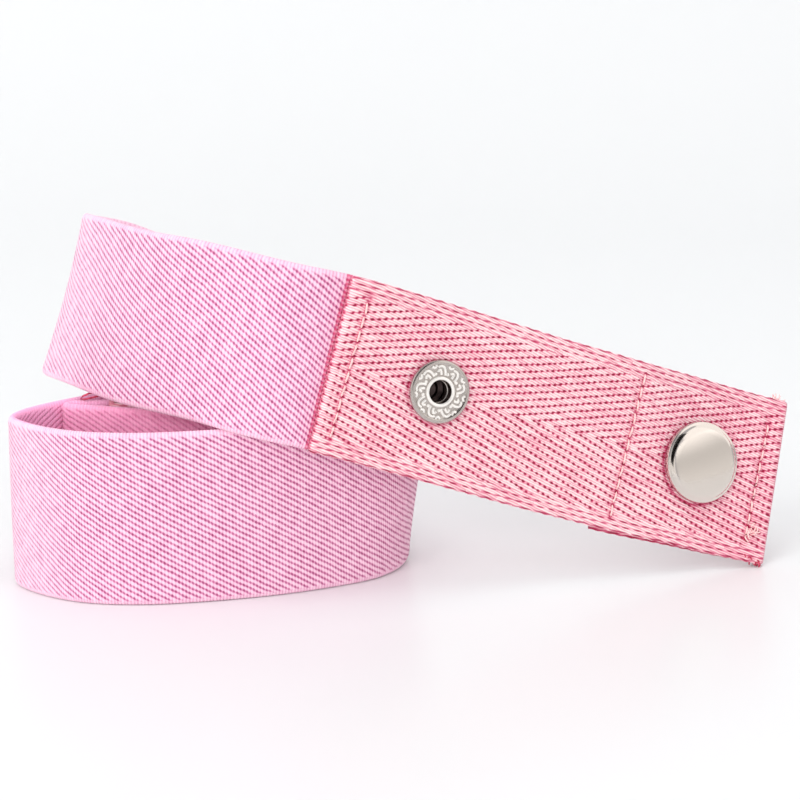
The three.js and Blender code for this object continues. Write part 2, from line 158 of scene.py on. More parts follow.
class MiddleLine:
    """The coil's middle line, a smooth curve through the stations."""

    SAMPLES = 3000
    STEP = 1e-4

    def __init__(self) -> None:
        """Reads the stations, adds one past either end and measures the curve's length."""
        lift = BAND_WIDTH / 2 / MM
        stations = RAISED_STATIONS + tuple((x, y, lift, 0, 0) for x, y in FLOOR_STATIONS)
        rows = np.array(stations, float)
        rows = np.vstack([2 * rows[0] - rows[1], rows, 2 * rows[-1] - rows[-2]])
        self.points, self.tilts = rows[:, :3] * MM, rows[:, 3:]
        self.knots = len(stations) - 1
        self.params = np.linspace(0, 1, self.SAMPLES + 1)
        chords = np.linalg.norm(np.diff(self.place(self.params), axis=0), axis=1)
        self.lengths = np.concatenate([[0], np.cumsum(chords)])

    def segment(self, t: np.ndarray) -> tuple[np.ndarray, np.ndarray]:
        """Which stretch between two stations each parameter lies in.

        Args:
            t: parameters from 0 to 1.

        Returns:
            The stretch's number, and how far along it the parameter lies, from 0 to 1.
        """
        at = np.clip(t, 0, 1) * self.knots
        index = np.minimum(at.astype(int), self.knots - 1)
        return index, (at - index)[:, None]

    @staticmethod
    def cubic(p1: np.ndarray, p2: np.ndarray, m1: np.ndarray, m2: np.ndarray, w: np.ndarray) -> np.ndarray:
        """A cubic from p1 to p2 with end slopes m1 and m2, at weight w."""
        return p1 + m1 * w + (3 * (p2 - p1) - 2 * m1 - m2) * w ** 2 + (2 * (p1 - p2) + m1 + m2) * w ** 3

    def place(self, t: np.ndarray) -> np.ndarray:
        """Points of the curve, whose knots are spaced by the square root of their distances.

        Args:
            t: parameters from 0 to 1.

        Returns:
            One point a row, in metres.
        """
        i, w = self.segment(t)
        p0, p1, p2, p3 = (self.points[i + k] for k in range(4))
        pairs = ((p0, p1), (p1, p2), (p2, p3))
        d0, d1, d2 = (np.sqrt(np.linalg.norm(b - a, axis=1, keepdims=True)) for a, b in pairs)
        m1 = ((p1 - p0) / d0 - (p2 - p0) / (d0 + d1) + (p2 - p1) / d1) * d1
        m2 = ((p2 - p1) / d1 - (p3 - p1) / (d1 + d2) + (p3 - p2) / d2) * d1
        return self.cubic(p1, p2, m1, m2, w)

    def tilt(self, t: np.ndarray) -> np.ndarray:
        """How the band is turned along the curve.

        Args:
            t: parameters from 0 to 1.

        Returns:
            Lean and tip in degrees, one row each.
        """
        i, w = self.segment(t)
        p0, p1, p2, p3 = (self.tilts[i + k] for k in range(4))
        return self.cubic(p1, p2, (p2 - p0) / 2, (p3 - p1) / 2, w)

    def frames(self, distances: np.ndarray) -> BandFrames:
        """The band's places at distances along the middle line.

        Args:
            distances: distances from the outer tab's folded end, in metres.

        Returns:
            The places, in the row frame.
        """
        t = np.interp(distances, self.lengths, self.params)
        along = unit(self.place(np.minimum(t + self.STEP, 1)) - self.place(np.maximum(t - self.STEP, 0)))
        across = np.column_stack([np.tan(np.radians(self.tilt(t))), np.ones(len(t))])
        across = unit(across - along * np.sum(across * along, axis=1, keepdims=True))
        return BandFrames(self.place(t) + np.array(ORIGIN_SHIFT), along, across, np.cross(across, along))


MIDDLE = MiddleLine()


class TabSide(Enum):
    """The two ends of the belt."""

    OUTER = "outer"
    INNER = "inner"

    def frames(self, distances: np.ndarray) -> BandFrames:
        """Places on this tab, where along points to the elastic.

        Args:
            distances: distances from the tab's folded end, in metres.

        Returns:
            The places, in the row frame.
        """
        if self is TabSide.OUTER:
            return MIDDLE.frames(distances)
        places = MIDDLE.frames(BELT_LENGTH - np.asarray(distances))
        return BandFrames(places.point, -places.along, -places.across, places.outward)


# Seams

STITCH_PITCH = 2.5 * MM
STITCH_LENGTH = 2.1 * MM


@dataclass
class Seam:
    """One line of stitches across a tab; lean moves its upper end towards the tab's end."""

    place: float
    lean: float = 0.0
    reach_up: float = 12.6 * MM
    reach_down: float = 12.6 * MM
    back_offset: float = TURNED_BACK_OFFSET - HALF_WEBBING


END_SEAM = Seam(4.3 * MM, lean=0.05, reach_up=11.6 * MM, reach_down=11.5 * MM)
SEAMS = (
    END_SEAM,
    Seam(33.4 * MM, reach_up=13.4 * MM, reach_down=13.3 * MM),
    Seam(TAB_LENGTH - 3.4 * MM, back_offset=-ELASTIC_THICKNESS / 2),
)


# Shading

Colour = tuple[float, float, float, float]


def srgb(red: int, green: int, blue: int) -> Colour:
    """A linear colour from display values of 0 to 255.

    Args:
        red: the red value.
        green: the green value.
        blue: the blue value.

    Returns:
        The colour, opaque.
    """
    shares = (red / 255, green / 255, blue / 255)
    linear = [x / 12.92 if x <= 0.04045 else ((x + 0.055) / 1.055) ** 2.4 for x in shares]
    return (linear[0], linear[1], linear[2], 1.0)


@dataclass(frozen=True, eq=False)
class Wire:
    """A value that runs between a material's nodes; arithmetic on it adds Math nodes."""

    graph: "Graph"
    socket: bpy.types.NodeSocket

    def __add__(self, other: "Value") -> "Wire":
        """The sum."""
        return self.graph.math("ADD", self, other)

    def __radd__(self, other: float) -> "Wire":
        """The sum with a plain number, so that sum() works."""
        return self + other

    def __sub__(self, other: "Value") -> "Wire":
        """The difference."""
        return self.graph.math("SUBTRACT", self, other)

    def __rsub__(self, other: float) -> "Wire":
        """A plain number less this value."""
        return self.graph.math("SUBTRACT", other, self)

    def __mul__(self, other: "Value") -> "Wire":
        """The product."""
        return self.graph.math("MULTIPLY", self, other)

    def __truediv__(self, other: float) -> "Wire":
        """The quotient."""
        return self.graph.math("DIVIDE", self, other)

    def __abs__(self) -> "Wire":
        """The value without its sign."""
        return self.graph.math("ABSOLUTE", self)

    def __round__(self) -> "Wire":
        """The nearest whole number."""
        return self.graph.math("ROUND", self)

    def __floor__(self) -> "Wire":
        """The whole number below."""
        return self.graph.math("FLOOR", self)


Value = Wire | float


class Graph:
    """A material's node tree, with short calls that add nodes to it."""

    def __init__(self, name: str) -> None:
        """Starts a new material with a Principled shader."""
        self.material = bpy.data.materials.new(name)
        self.material.use_nodes = True
        self.nodes = self.material.node_tree.nodes
        self.shader = self.nodes["Principled BSDF"]

    def put(self, socket: bpy.types.NodeSocket, value: Value | Colour) -> None:
        """Links a socket, or sets it to a plain value.

        Args:
            socket: the input.
            value: a wire or a plain value.
        """
        if isinstance(value, Wire):
            self.material.node_tree.links.new(value.socket, socket)
        else:
            socket.default_value = value

    def feed(self, node: bpy.types.Node, inputs: dict[str | int, Value | Colour], output: int = 0) -> Wire:
        """Puts values on a node's inputs.

        Args:
            node: the node.
            inputs: the values, by the inputs' names or numbers.
            output: the number of the output that is wanted.

        Returns:
            That output.
        """
        for key, value in inputs.items():
            self.put(node.inputs[key], value)
        return Wire(self, node.outputs[output])

    def dress(self, inputs: dict[str, Value | Colour]) -> bpy.types.Material:
        """Puts values on the shader's own sockets and gives the material."""
        self.feed(self.shader, inputs)
        return self.material

    def math(self, operation: str, *values: Value) -> Wire:
        """One Math node.

        Args:
            operation: Blender's name of the operation.
            values: its inputs.

        Returns:
            The result.
        """
        node = self.nodes.new("ShaderNodeMath")
        node.operation = operation
        return self.feed(node, dict(enumerate(values)))

    def rise(self, value: Wire, low: float, high: float) -> Wire:
        """A smooth rise from 0 to 1.

        Args:
            value: what the rise follows.
            low: where it starts.
            high: where it ends.

        Returns:
            The rise.
        """
        node = self.nodes.new("ShaderNodeMapRange")
        node.interpolation_type = "SMOOTHSTEP"
        return self.feed(node, {0: value, 1: low, 2: high})

    def window(self, value: Wire, start: float, full: float, fade: float, end: float) -> Wire:
        """1 from full to fade, 0 before start and after end, with smooth slopes between."""
        return self.rise(value, start, full) * (1.0 - self.rise(value, fade, end))

    def bell(self, *offsets: Wire) -> Wire:
        """A bell curve, 1 where all offsets are 0."""
        return self.math("EXPONENT", sum(offset * offset for offset in offsets) * -1.0)

    def wave(self, phase: Wire) -> Wire:
        """A wave between 0 and 1 that peaks where phase is a whole number."""
        return self.math("COSINE", phase * math.tau) * 0.5 + 0.5

    def blend(self, share: Wire, first: Value, second: Value) -> Wire:
        """A number that goes from first to second as share goes from 0 to 1."""
        return self.feed(self.nodes.new("ShaderNodeMix"), {0: share, 2: first, 3: second})

    def tint(self, share: Wire, first: Wire, second: Colour) -> Wire:
        """A mix of two colours.

        Args:
            share: the second colour's share, from 0 to 1.
            first: the first colour.
            second: the second colour.

        Returns:
            The mixed colour.
        """
        node = self.nodes.new("ShaderNodeMix")
        node.data_type = "RGBA"
        return self.feed(node, {0: share, 6: first, 7: second}, output=2)

    def ramp(self, share: Wire, stops: dict[float, tuple[int, int, int]]) -> Wire:
        """A colour that runs through stops.

        Args:
            share: the place on the ramp, from 0 to 1.
            stops: the stops' display colours, by their places.

        Returns:
            The colour.
        """
        node = self.nodes.new("ShaderNodeValToRGB")
        elements = node.color_ramp.elements
        while len(elements) < len(stops):
            elements.new(0.5)
        for element, (place, colour) in zip(elements, stops.items()):
            element.position = place
            element.color = srgb(*colour)
        return self.feed(node, {0: share})

    def split(self, vector: Wire) -> list[Wire]:
        """The parts of a vector.

        Args:
            vector: the vector.

        Returns:
            Its x, y and z.
        """
        node = self.nodes.new("ShaderNodeSeparateXYZ")
        self.put(node.inputs[0], vector)
        return [Wire(self, socket) for socket in node.outputs]

    def own_place(self) -> Wire:
        """The place on the piece, in Object coordinates."""
        return Wire(self, self.nodes.new("ShaderNodeTexCoord").outputs["Object"])

    def cloth_place(self) -> list[Wire]:
        """The place on the cloth, from its own UV map.

        Returns:
            The distance along it and that across it from its middle, in millimetres.
        """
        node = self.nodes.new("ShaderNodeUVMap")
        node.uv_map = "weave"
        return self.split(Wire(self, node.outputs[0]))[:2]

    def vector(self, x: Wire, y: Wire) -> Wire:
        """A flat vector of two values."""
        return self.feed(self.nodes.new("ShaderNodeCombineXYZ"), {0: x, 1: y})

    def noise(self, vector: Wire, scale: float, detail: float = 2.0, roughness: float = 0.5) -> Wire:
        """Smooth noise from 0 to 1 over a vector."""
        return self.feed(self.nodes.new("ShaderNodeTexNoise"),
                         {"Vector": vector, "Scale": scale, "Detail": detail, "Roughness": roughness})

    def speckle(self, x: Wire, y: Wire) -> Wire:
        """A chance number for each pair of whole numbers.

        Args:
            x: the first number.
            y: the second number.

        Returns:
            A number from 0 to 1.
        """
        node = self.nodes.new("ShaderNodeTexWhiteNoise")
        node.noise_dimensions = "2D"
        return self.feed(node, {"Vector": self.vector(x, y)})

    def bump(self, height: Wire, distance: float, strength: float) -> None:
        """Bends the shader's normal.

        Args:
            height: the relief's height, from 0 to 1.
            distance: how high 1 is, in metres.
            strength: how much of the relief shows.
        """
        normal = self.feed(self.nodes.new("ShaderNodeBump"),
                           {"Strength": strength, "Distance": distance, "Height": height})
        self.put(self.shader.inputs["Normal"], normal)


@dataclass(frozen=True)
class ElasticTwill:
    """Fine three-step twill of the elastic, with ribbed selvedges; sizes in millimetres.

    Its shade runs from 0 on the lightest yarn to 1 in the deepest gap.
    """

    pick: float = 0.645
    row: float = 1.1
    selvedge: float = 1.05
    bead: float = 0.75
    turn_in: float = -340.0
    last_turn: float = -479.0
    bends: tuple[float, float] = (-156.0, -346.0)
    bend_reach: float = 12.0

    @property
    def fold(self) -> float:
        """Where the outer tab's fold lies along the cloth."""
        return -(TAB_LENGTH + ELASTIC_OVERLAP * (WEAVE_TIGHTNESS[0][1] - 1)) / MM

    def material(self) -> bpy.types.Material:
        """Builds the elastic's finish.

        Returns:
            The material.
        """
        g = Graph("elastic_twill")
        place, height = g.cloth_place()
        drift = g.noise(g.vector(place, height), 0.35) * 0.3 - 0.15
        u, v = place + drift * 0.5, height + drift
        columns = u / self.pick
        rows = v / self.row + columns / 3.0
        row_wave = g.wave(rows)
        row, column = row_wave * row_wave, g.wave(columns)
        mottle = g.speckle(round(columns), round(rows))
        pit = row * (column * 0.48 + 0.45) * (mottle * 0.3 + 0.76)
        rim = BAND_WIDTH / MM / 2 - self.selvedge
        edge = g.rise(abs(v), rim - 0.2, rim + 0.5)
        depth = g.blend(edge, pit, column * 0.17 + 0.03)
        float_tone = g.speckle(math.floor(columns), math.floor(rows))
        gap = column * column * (1.0 - row) * g.blend(edge, 0.19, 0.06)

        # Painted shade inside the coil: the inner faces past turn_in and every face past last_turn are darker
        # and lower in contrast.
        face = g.nodes.new("ShaderNodeAttribute")
        face.attribute_name = "inner_face"
        inner_wall = Wire(g, face.outputs["Fac"]) * (1.0 - g.rise(place, self.turn_in - 8, self.turn_in + 8))
        last_turn = 1.0 - g.rise(place, self.last_turn - 5, self.last_turn + 5)
        painted_inside_shade = g.math("MAXIMUM", inner_wall, last_turn)
        calm = sum(g.bell((place - middle) / self.bend_reach) for middle in self.bends)
        contrast = (painted_inside_shade * -0.35 + 1.0) * (calm * -0.42 + 1.0)
        shade = (depth + gap) * contrast + painted_inside_shade * 0.17 + float_tone * 0.12 - 0.06
        colour = g.ramp(shade, {0.0: (249, 209, 226), 0.14: (242, 191, 214), 0.44: (209, 129, 168),
                                0.72: (186, 88, 137), 1.0: (150, 36, 92)})
        patch = g.noise(g.own_place(), 60.0, 3.0)
        colour = g.tint(patch * 0.12 - 0.02, colour, srgb(244, 180, 210))
        # Painted bounce light: a hotter pink inside the coil, and the inner faces lightened toward pale pink.
        colour = g.tint(painted_inside_shade * 0.55, colour, srgb(255, 160, 200))
        colour = g.tint(inner_wall * 0.6, colour, srgb(255, 190, 228))
        # Painted contact shadow: a crimson line of dots on the elastic beside the outer tab's hem fold.
        joint = g.window(place, self.fold - 0.4, self.fold - 0.15, self.fold + 0.6, self.fold + 1.0)
        colour = g.tint(joint * (g.wave(v / self.bead) * 0.45 + 0.4), colour, srgb(214, 56, 108))
        g.bump(1.0 - depth, 0.24 * MM, 0.9)
        return g.dress({"Base Color": colour, "Roughness": 0.75, "Sheen Weight": 0.25,
                        "Sheen Roughness": 0.5, "Specular IOR Level": 0.3})


@dataclass(frozen=True)
class HerringboneWeave:
    """Coarse four-step herringbone of the webbing, turning at mid-width; sizes in millimetres.

    Its shade runs from 0 on the lightest yarn to 1 in the deepest pit.
    """

    pick: float = 1.11
    row: float = 1.34
    step: float = 0.25
    strand: float = 0.447
    pit_length: float = 0.25
    pit_width: float = 0.2
    pit_lean: float = 0.2
    line_width: float = 0.15
    yarn_lean: float = 10.0
    edge_start: float = 13.0
    edge_row: float = 0.95
    rim_row: float = 15.75
    joint_fold: float = -93.4
    end_rim: float = -0.8
    groove_width: float = 0.6
    hole_width: float = 0.3
    contact_shade_width: float = 0.3

    @property
    def slope(self) -> float:
        """How far the yarns fall across for each millimetre along."""
        return math.tan(math.radians(self.yarn_lean))

    def relief(self, u: np.ndarray, v: np.ndarray) -> np.ndarray:
        """Depth of the pits between the yarns, from 0 to 1.

        Args:
            u: distances along the cloth, in millimetres.
            v: distances across it from its middle, in millimetres.

        Returns:
            The depth at each place.
        """
        column = np.round(u / self.pick)
        x = u - column * self.pick
        rows = v / self.row - np.where(v > 0, self.step, -self.step) * column
        y = (rows - np.round(rows)) * self.row - np.sign(v) * self.pit_lean * x
        pits = bell(x, self.pit_length) * bell(y, self.pit_width)
        lines = (self.rim_row - np.abs(v)) / self.edge_row
        dashes = 0.7 * bell((lines - np.round(lines)) * self.edge_row, 0.13)
        open_cloth = smooth_step(u, self.joint_fold + 0.1, self.joint_fold + 0.7)
        open_cloth = open_cloth * (1 - smooth_step(u, self.end_rim - 0.8, self.end_rim - 0.1))
        return np.where(np.abs(v) < self.edge_start, pits, dashes) * open_cloth

    def strands(self, g: Graph, u: Wire, v: Wire) -> tuple[Wire, Wire]:
        """The strands that the yarns are spun of.

        Args:
            g: the graph that takes the nodes.
            u: the place along the cloth, in millimetres.
            v: the place across it, in millimetres.

        Returns:
            How deep each place lies between two strands, and each strand's own tone.
        """
        across = (v + u * self.slope) / self.strand
        index = math.floor(across)
        tone = g.speckle(index, math.floor(u / (3 * self.pick) + index * 0.37))
        return g.wave(across), tone

    def selvedge(self, g: Graph, u: Wire, far_out: Wire, drift: Wire) -> Wire:
        """The dashed lines along the cloth's edges.

        Args:
            g: the graph that takes the nodes.
            u: the place along the cloth, in millimetres.
            far_out: the distance from the middle, in millimetres.
            drift: the weave's unevenness.

        Returns:
            Their depth.
        """
        lines = (self.rim_row - far_out) / self.edge_row
        line = round(lines)
        dash = g.wave(u / (self.pick * 2) + line * 0.4 + drift)
        loops = g.wave(u / (self.pick * 3.5) + drift)
        along_line = g.blend(g.math("LESS_THAN", lines, 0.5), dash * 0.5 + 0.14, loops * 0.6 + 0.12)
        return g.bell((lines - line) * self.edge_row / self.line_width) * along_line

    def material(self) -> bpy.types.Material:
        """Builds the webbing's finish.

        Returns:
            The material.
        """
        g = Graph("herringbone_webbing")
        u, v = g.cloth_place()
        drift = g.noise(g.vector(u, v), 0.5) * 0.3 - 0.15
        far_out, half = abs(v), g.math("SIGN", v)
        edge = g.rise(far_out, self.edge_start - 0.15, self.edge_start + 0.15)
        column = round(u / self.pick)
        x = u - column * self.pick
        rows = (v + drift) / self.row - half * column * self.step
        row = round(rows)
        leaning = (rows - row) * self.row - x * half * self.pit_lean
        mottle = g.speckle(column, row)
        run = (v + drift) / self.row - half * (u / self.pick) * self.step
        off_run = (run - round(run)) * self.row
        pit = g.bell(x / self.pit_length, leaning / self.pit_width) * (mottle * 0.5 + 0.74)
        line = g.bell(off_run / self.line_width) * (mottle * 0.16 + 0.11)
        crease_relief_and_shade, tone = self.strands(g, u + drift * 2.0, v + drift)
        lie = g.noise(g.vector(u * 0.5, v * 3.0), 1.0, 3.0)

        hem_start, hem_full, fold = self.joint_fold - 1.9, self.joint_fold - 1.3, self.joint_fold
        past_joint = g.window(u, hem_start, hem_full, fold, fold + 0.45)
        past_end = g.window(u, self.end_rim - 0.3, self.end_rim + 0.4, 0.9, 1.5)
        turning = g.math("MAXIMUM", past_joint, past_end)
        depth = g.blend(edge, pit + line, self.selvedge(g, u, far_out, drift)) * (1.0 - turning)
        # Painted shade in the seams' grooves and needle holes; the bump below also takes it as relief.
        seam = self.painted_seam_shade(g, u, v) * g.math("LESS_THAN", far_out, 14.2)
        # Painted shade at the tab's folds and ends: the cloth curving under at the hem's fold (its crimson
        # dots partly the ground yarn's loops, partly painted shade), the turned parts at both folds, the edge
        # of the turned-back layer as a thin dark line, and the front toward the folded end are darkened.
        under = g.window(u, hem_start, hem_full, fold, fold + 0.5) * (g.wave(v / 0.8) * 0.9 + 0.5)
        turned_rim_shade = g.rise(u, 0.2, 0.8) * g.rise(far_out, 15.3, 15.6)
        painted_end_shade = g.rise(u, -34.0, -2.0) * 0.06
        ends = turned_rim_shade * 0.28 + turning * 0.12 + past_end * 0.08 + under * 0.4 + painted_end_shade
        # Painted highlight and shade on the strands: lighter on their crests, darker in the creases between
        # them; tone and lie vary at random.
        yarn = crease_relief_and_shade * 0.27 + tone * 0.2 + lie * 0.24 - 0.22
        shade = depth + yarn * (turning * -0.6 + 1.0) + ends + seam + self.painted_contact_shade(g, u, v)
        colour = g.ramp(shade, {0.0: (247, 221, 220), 0.13: (241, 194, 199), 0.3: (226, 146, 163),
                                0.52: (199, 86, 117), 0.78: (176, 40, 80), 1.0: (150, 14, 54)})
        g.bump(1.0 - (depth + crease_relief_and_shade * 0.4 + seam), 0.2 * MM, 0.8)
        return g.dress({"Base Color": colour, "Roughness": 0.7, "Sheen Weight": 0.2,
                        "Sheen Roughness": 0.45, "Specular IOR Level": 0.35})

    def painted_contact_shade(self, g: Graph, u: Wire, v: Wire) -> Value:
        """Painted contact shade: darker cloth in the narrow gap under the rims of the cap and the eyelet.

        Args:
            g: the graph that takes the nodes.
            u: the place along the cloth, in millimetres.
            v: the place across it, in millimetres.

        Returns:
            The added depth of shade.
        """
        marks: Value = 0.0
        for place, radius, strength in ((CAP_PLACE, CAP_RADIUS, 0.42), (EYELET_PLACE, EYELET_RADIUS, 0.2)):
            along = u + place / MM
            out = g.math("SQRT", along * along + v * v)
            marks = g.bell((out - (radius / MM + 0.05)) / self.contact_shade_width) * strength + marks
        return marks

    def painted_seam_shade(self, g: Graph, u: Wire, v: Wire) -> Value:
        """Painted shade: darker grooves and needle holes at the seams.

        Args:
            g: the graph that takes the nodes.
            u: the place along the cloth, in millimetres.
            v: the place across it, in millimetres.

        Returns:
            The added depth of shade.
        """
        marks: Value = 0.0
        pitch = STITCH_PITCH / MM
        for seam in SEAMS:
            beside = u + seam.place / MM - v * seam.lean
            first = (seam.reach_down + (STITCH_PITCH - STITCH_LENGTH) / 2) / MM
            holes = (v + first) / pitch
            far = (holes - round(holes)) * pitch
            hole = g.bell(beside / self.hole_width, far / self.hole_width)
            groove = g.bell(beside / self.groove_width)
            within = (g.math("GREATER_THAN", v, -seam.reach_down / MM - pitch / 2)
                      * g.math("LESS_THAN", v, seam.reach_up / MM + pitch / 2))
            marks = (groove * 0.14 + hole * 0.42) * within + marks
        return marks


@dataclass(frozen=True)
class SeamThread:
    """Pale pink twisted sewing thread."""

    def material(self) -> bpy.types.Material:
        """Builds the thread's finish.

        Returns:
            The material.
        """
        g = Graph("seam_thread")
        twist = g.noise(g.own_place(), 4000.0, 1.0)
        g.bump(twist, 0.08 * MM, 0.6)
        colour = g.ramp(twist, {0.3: (246, 176, 182), 0.6: (255, 210, 206)})
        return g.dress({"Base Color": colour, "Roughness": 0.5, "Sheen Weight": 0.3})


@dataclass(frozen=True)
class CrimsonYarn:
    """Crimson ground yarn of the webbing, where a loop or a fringe of it is pulled out."""

    def material(self) -> bpy.types.Material:
        """Builds the yarn's finish.

        Returns:
            The material.
        """
        g = Graph("crimson_yarn")
        colour = g.ramp(g.noise(g.own_place(), 2500.0, 1.0), {0.35: (160, 24, 58), 0.65: (220, 88, 114)})
        return g.dress({"Base Color": colour, "Roughness": 0.7})


@dataclass(frozen=True)
class SatinNickel:
    """Satin nickel plate, finely polished and a little worn."""

    name: str
    colour: Colour = srgb(222, 213, 206)
    roughness: float = 0.12
    wear: float = 0.07
    metallic: float = 1.0

    def material(self) -> bpy.types.Material:
        """Builds the metal's finish.

        Returns:
            The material.
        """
        g = Graph(self.name)
        cloud = g.noise(g.own_place(), 180.0, 4.0, 0.6)
        grain = g.noise(g.own_place(), 2600.0)
        g.bump(grain + cloud * 0.6, 0.012 * MM, 0.3)
        rough = cloud * self.wear + grain * 0.03 + (self.roughness - self.wear / 2)
        return g.dress({"Base Color": self.colour, "Metallic": self.metallic, "Roughness": rough})


@dataclass(frozen=True)
class PaleFloor:
    """Smooth pale sheet that the belt stands on."""

    def material(self) -> bpy.types.Material:
        """Builds the floor's finish.

        Returns:
            The material.
        """
        g = Graph("pale_floor")
        return g.dress({"Base Color": srgb(231, 232, 232), "Roughness": 0.28, "Specular IOR Level": 0.35})


# Meshes


def deselect() -> None:
    """Leaves object mode with nothing selected."""
    if bpy.context.object and bpy.context.object.mode != "OBJECT":
        bpy.ops.object.mode_set(mode="OBJECT")
    bpy.ops.object.select_all(action="DESELECT")


def linked(mesh: bpy.types.Mesh) -> bpy.types.Object:
    """Puts a mesh in the scene, as an object under its name.

    Args:
        mesh: the mesh.

    Returns:
        The object.
    """
    piece = bpy.data.objects.new(mesh.name, mesh)
    bpy.context.scene.collection.objects.link(piece)
    return piece


def settle(piece: bpy.types.Object, material: bpy.types.Material,
           replaced: tuple[str, ...] = ()) -> None:
    """Dresses a finished piece and ties it to the belt's body.

    Args:
        piece: the finished object.
        material: its finish.
        replaced: the solids that it stands for.
    """
    piece.data.materials.clear()
    piece.data.materials.append(material)
    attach(piece, "root")
    if replaced:
        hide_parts(*replaced)
    log.info("%s: %d faces", piece.name, len(piece.data.polygons))


@dataclass
class BandSection:
    """Cross-section of a band: a flat front and back between rounded edges."""

    thickness: float
    edge_points: int = 5
    edge_bulge: float = 0.35

    @property
    def bulge(self) -> float:
        """How far the rounded edge reaches past the flat part."""
        return self.thickness / 2 * (1 + self.edge_bulge)

    @property
    def flat(self) -> float:
        """How far the flat part reaches from the middle."""
        return BAND_WIDTH / 2 - self.bulge

    def outline(self, front: np.ndarray, back: np.ndarray) -> tuple[np.ndarray, np.ndarray, np.ndarray]:
        """Places across and through the band, and the share of the front's relief at each.

        Args:
            front: places across the front, from the top down.
            back: places across the back, from the bottom up.

        Returns:
            The across places, the through places and 1 on the front, 0 elsewhere.
        """
        half = self.thickness / 2
        angles = np.linspace(0, math.pi, self.edge_points + 2)[1:-1]
        edge = self.flat + self.bulge * np.sin(angles)
        across = np.concatenate([front, -edge, back, edge])
        through = np.concatenate([
            np.full(len(front), half), half * np.cos(angles),
            np.full(len(back), -half), -half * np.cos(angles),
        ])
        share = np.concatenate([np.ones(len(front)), np.zeros(len(across) - len(front))])
        return across, through, share


def loft(name: str, rings: np.ndarray, along: np.ndarray, across: np.ndarray,
         inner: np.ndarray) -> bpy.types.Object:
    """A closed band through rings of points, with a cap at both ends.

    Args:
        name: the new object's name.
        rings: rings x points x 3 places, in metres.
        along: each ring's place along the cloth, in millimetres, one a row.
        across: each point's place across the band, in metres.
        inner: True for each point of a ring that lies on the inner face.

    Returns:
        The new object.
    """
    count, size = rings.shape[:2]
    ring, corner = np.meshgrid(np.arange(count - 1), np.arange(size), indexing="ij")
    a = ring * size + corner
    b = ring * size + (corner + 1) % size
    faces = np.stack([a, a + size, b + size, b], axis=-1).reshape(-1, 4)
    mesh = bpy.data.meshes.new(name)
    ends = [list(range(size)), list(range(count * size - 1, (count - 1) * size - 1, -1))]
    mesh.from_pydata(rings.reshape(-1, 3).tolist(), [], faces.tolist() + ends)
    uv = np.stack(np.broadcast_arrays(along, np.append(across, across[0]) / MM), axis=-1)
    corners = np.stack([uv[:-1, :-1], uv[1:, :-1], uv[1:, 1:], uv[:-1, 1:]], axis=2).reshape(-1, 2)
    uv = np.concatenate([corners, uv[0, :-1], uv[-1, :-1][::-1]]).astype(np.float32)
    mesh.uv_layers.new(name="weave").data.foreach_set("uv", uv.ravel())
    mesh.polygons.foreach_set("use_smooth", [True] * len(faces) + [False, False])
    face_side = mesh.attributes.new("inner_face", "FLOAT", "POINT")
    face_side.data.foreach_set("value", np.tile(inner.astype(np.float32), count))
    mesh.validate()
    mesh.update()
    return linked(mesh)


@dataclass
class ElasticBand:
    """The long elastic with its woven faces, ribbed selvedges and slightly wavy edges."""

    step: float = 0.162 * MM
    rim_width: float = 4 * MM
    sway: float = 0.16 * MM
    rib_depth: float = 0.05 * MM
    finish: ElasticTwill = field(default_factory=ElasticTwill)

    def picks(self, distances: np.ndarray) -> np.ndarray:
        """Places along the weave, which is drawn together or out at the bends.

        Args:
            distances: distances along the belt, in metres.

        Returns:
            The places in millimetres of plain weave, falling with the distance.
        """
        places, tightness = np.array(WEAVE_TIGHTNESS).T
        rate = np.interp(distances / MM, places, tightness)
        steps = (rate[1:] + rate[:-1]) / 2 * np.diff(distances) / MM
        return -(distances[0] / MM + np.concatenate([[0], np.cumsum(steps)]))

    def build(self) -> bpy.types.Object:
        """Builds and dresses the band in place of its solid.

        Returns:
            The band.
        """
        start, end = TAB_LENGTH - ELASTIC_OVERLAP, INNER_JOINT_DISTANCE + ELASTIC_OVERLAP
        distances = np.linspace(start, end, int((end - start) / self.step))
        places = MIDDLE.frames(distances)
        section = BandSection(ELASTIC_THICKNESS)
        flat = section.flat
        border = flat - np.array([0, 0.6, 1.2, 1.8]) * MM
        inside = np.linspace(flat - self.rim_width, self.rim_width - flat, 4)
        front = np.concatenate([border, inside, -border[::-1]])
        across, through, _ = section.outline(front, front[::-1])
        u = self.picks(distances)[:, None]
        rim = smooth_step(np.abs(across), flat - 1.5 * MM, flat - 0.7 * MM)
        rib = 0.5 + 0.5 * np.cos(math.tau * u / self.finish.pick)
        sway = self.sway * np.sin(u / 9.1 + 0.6 * np.sin(u / 23)) * (np.abs(across) / BAND_WIDTH * 2) ** 2
        lift = through * (1 - 0.08 * rim * rib - 0.06 * (1 - rim))
        reach = across - np.sign(across) * rim * rib * self.rib_depth
        rings = (places.point[:, None] + places.across[:, None] * reach[..., None]
                 + places.outward[:, None] * (lift + sway)[..., None])
        piece = loft("elastic", rings, u, across, through < 0)
        settle(piece, self.finish.material(), ("elastic_band",))
        end - start
        return piece


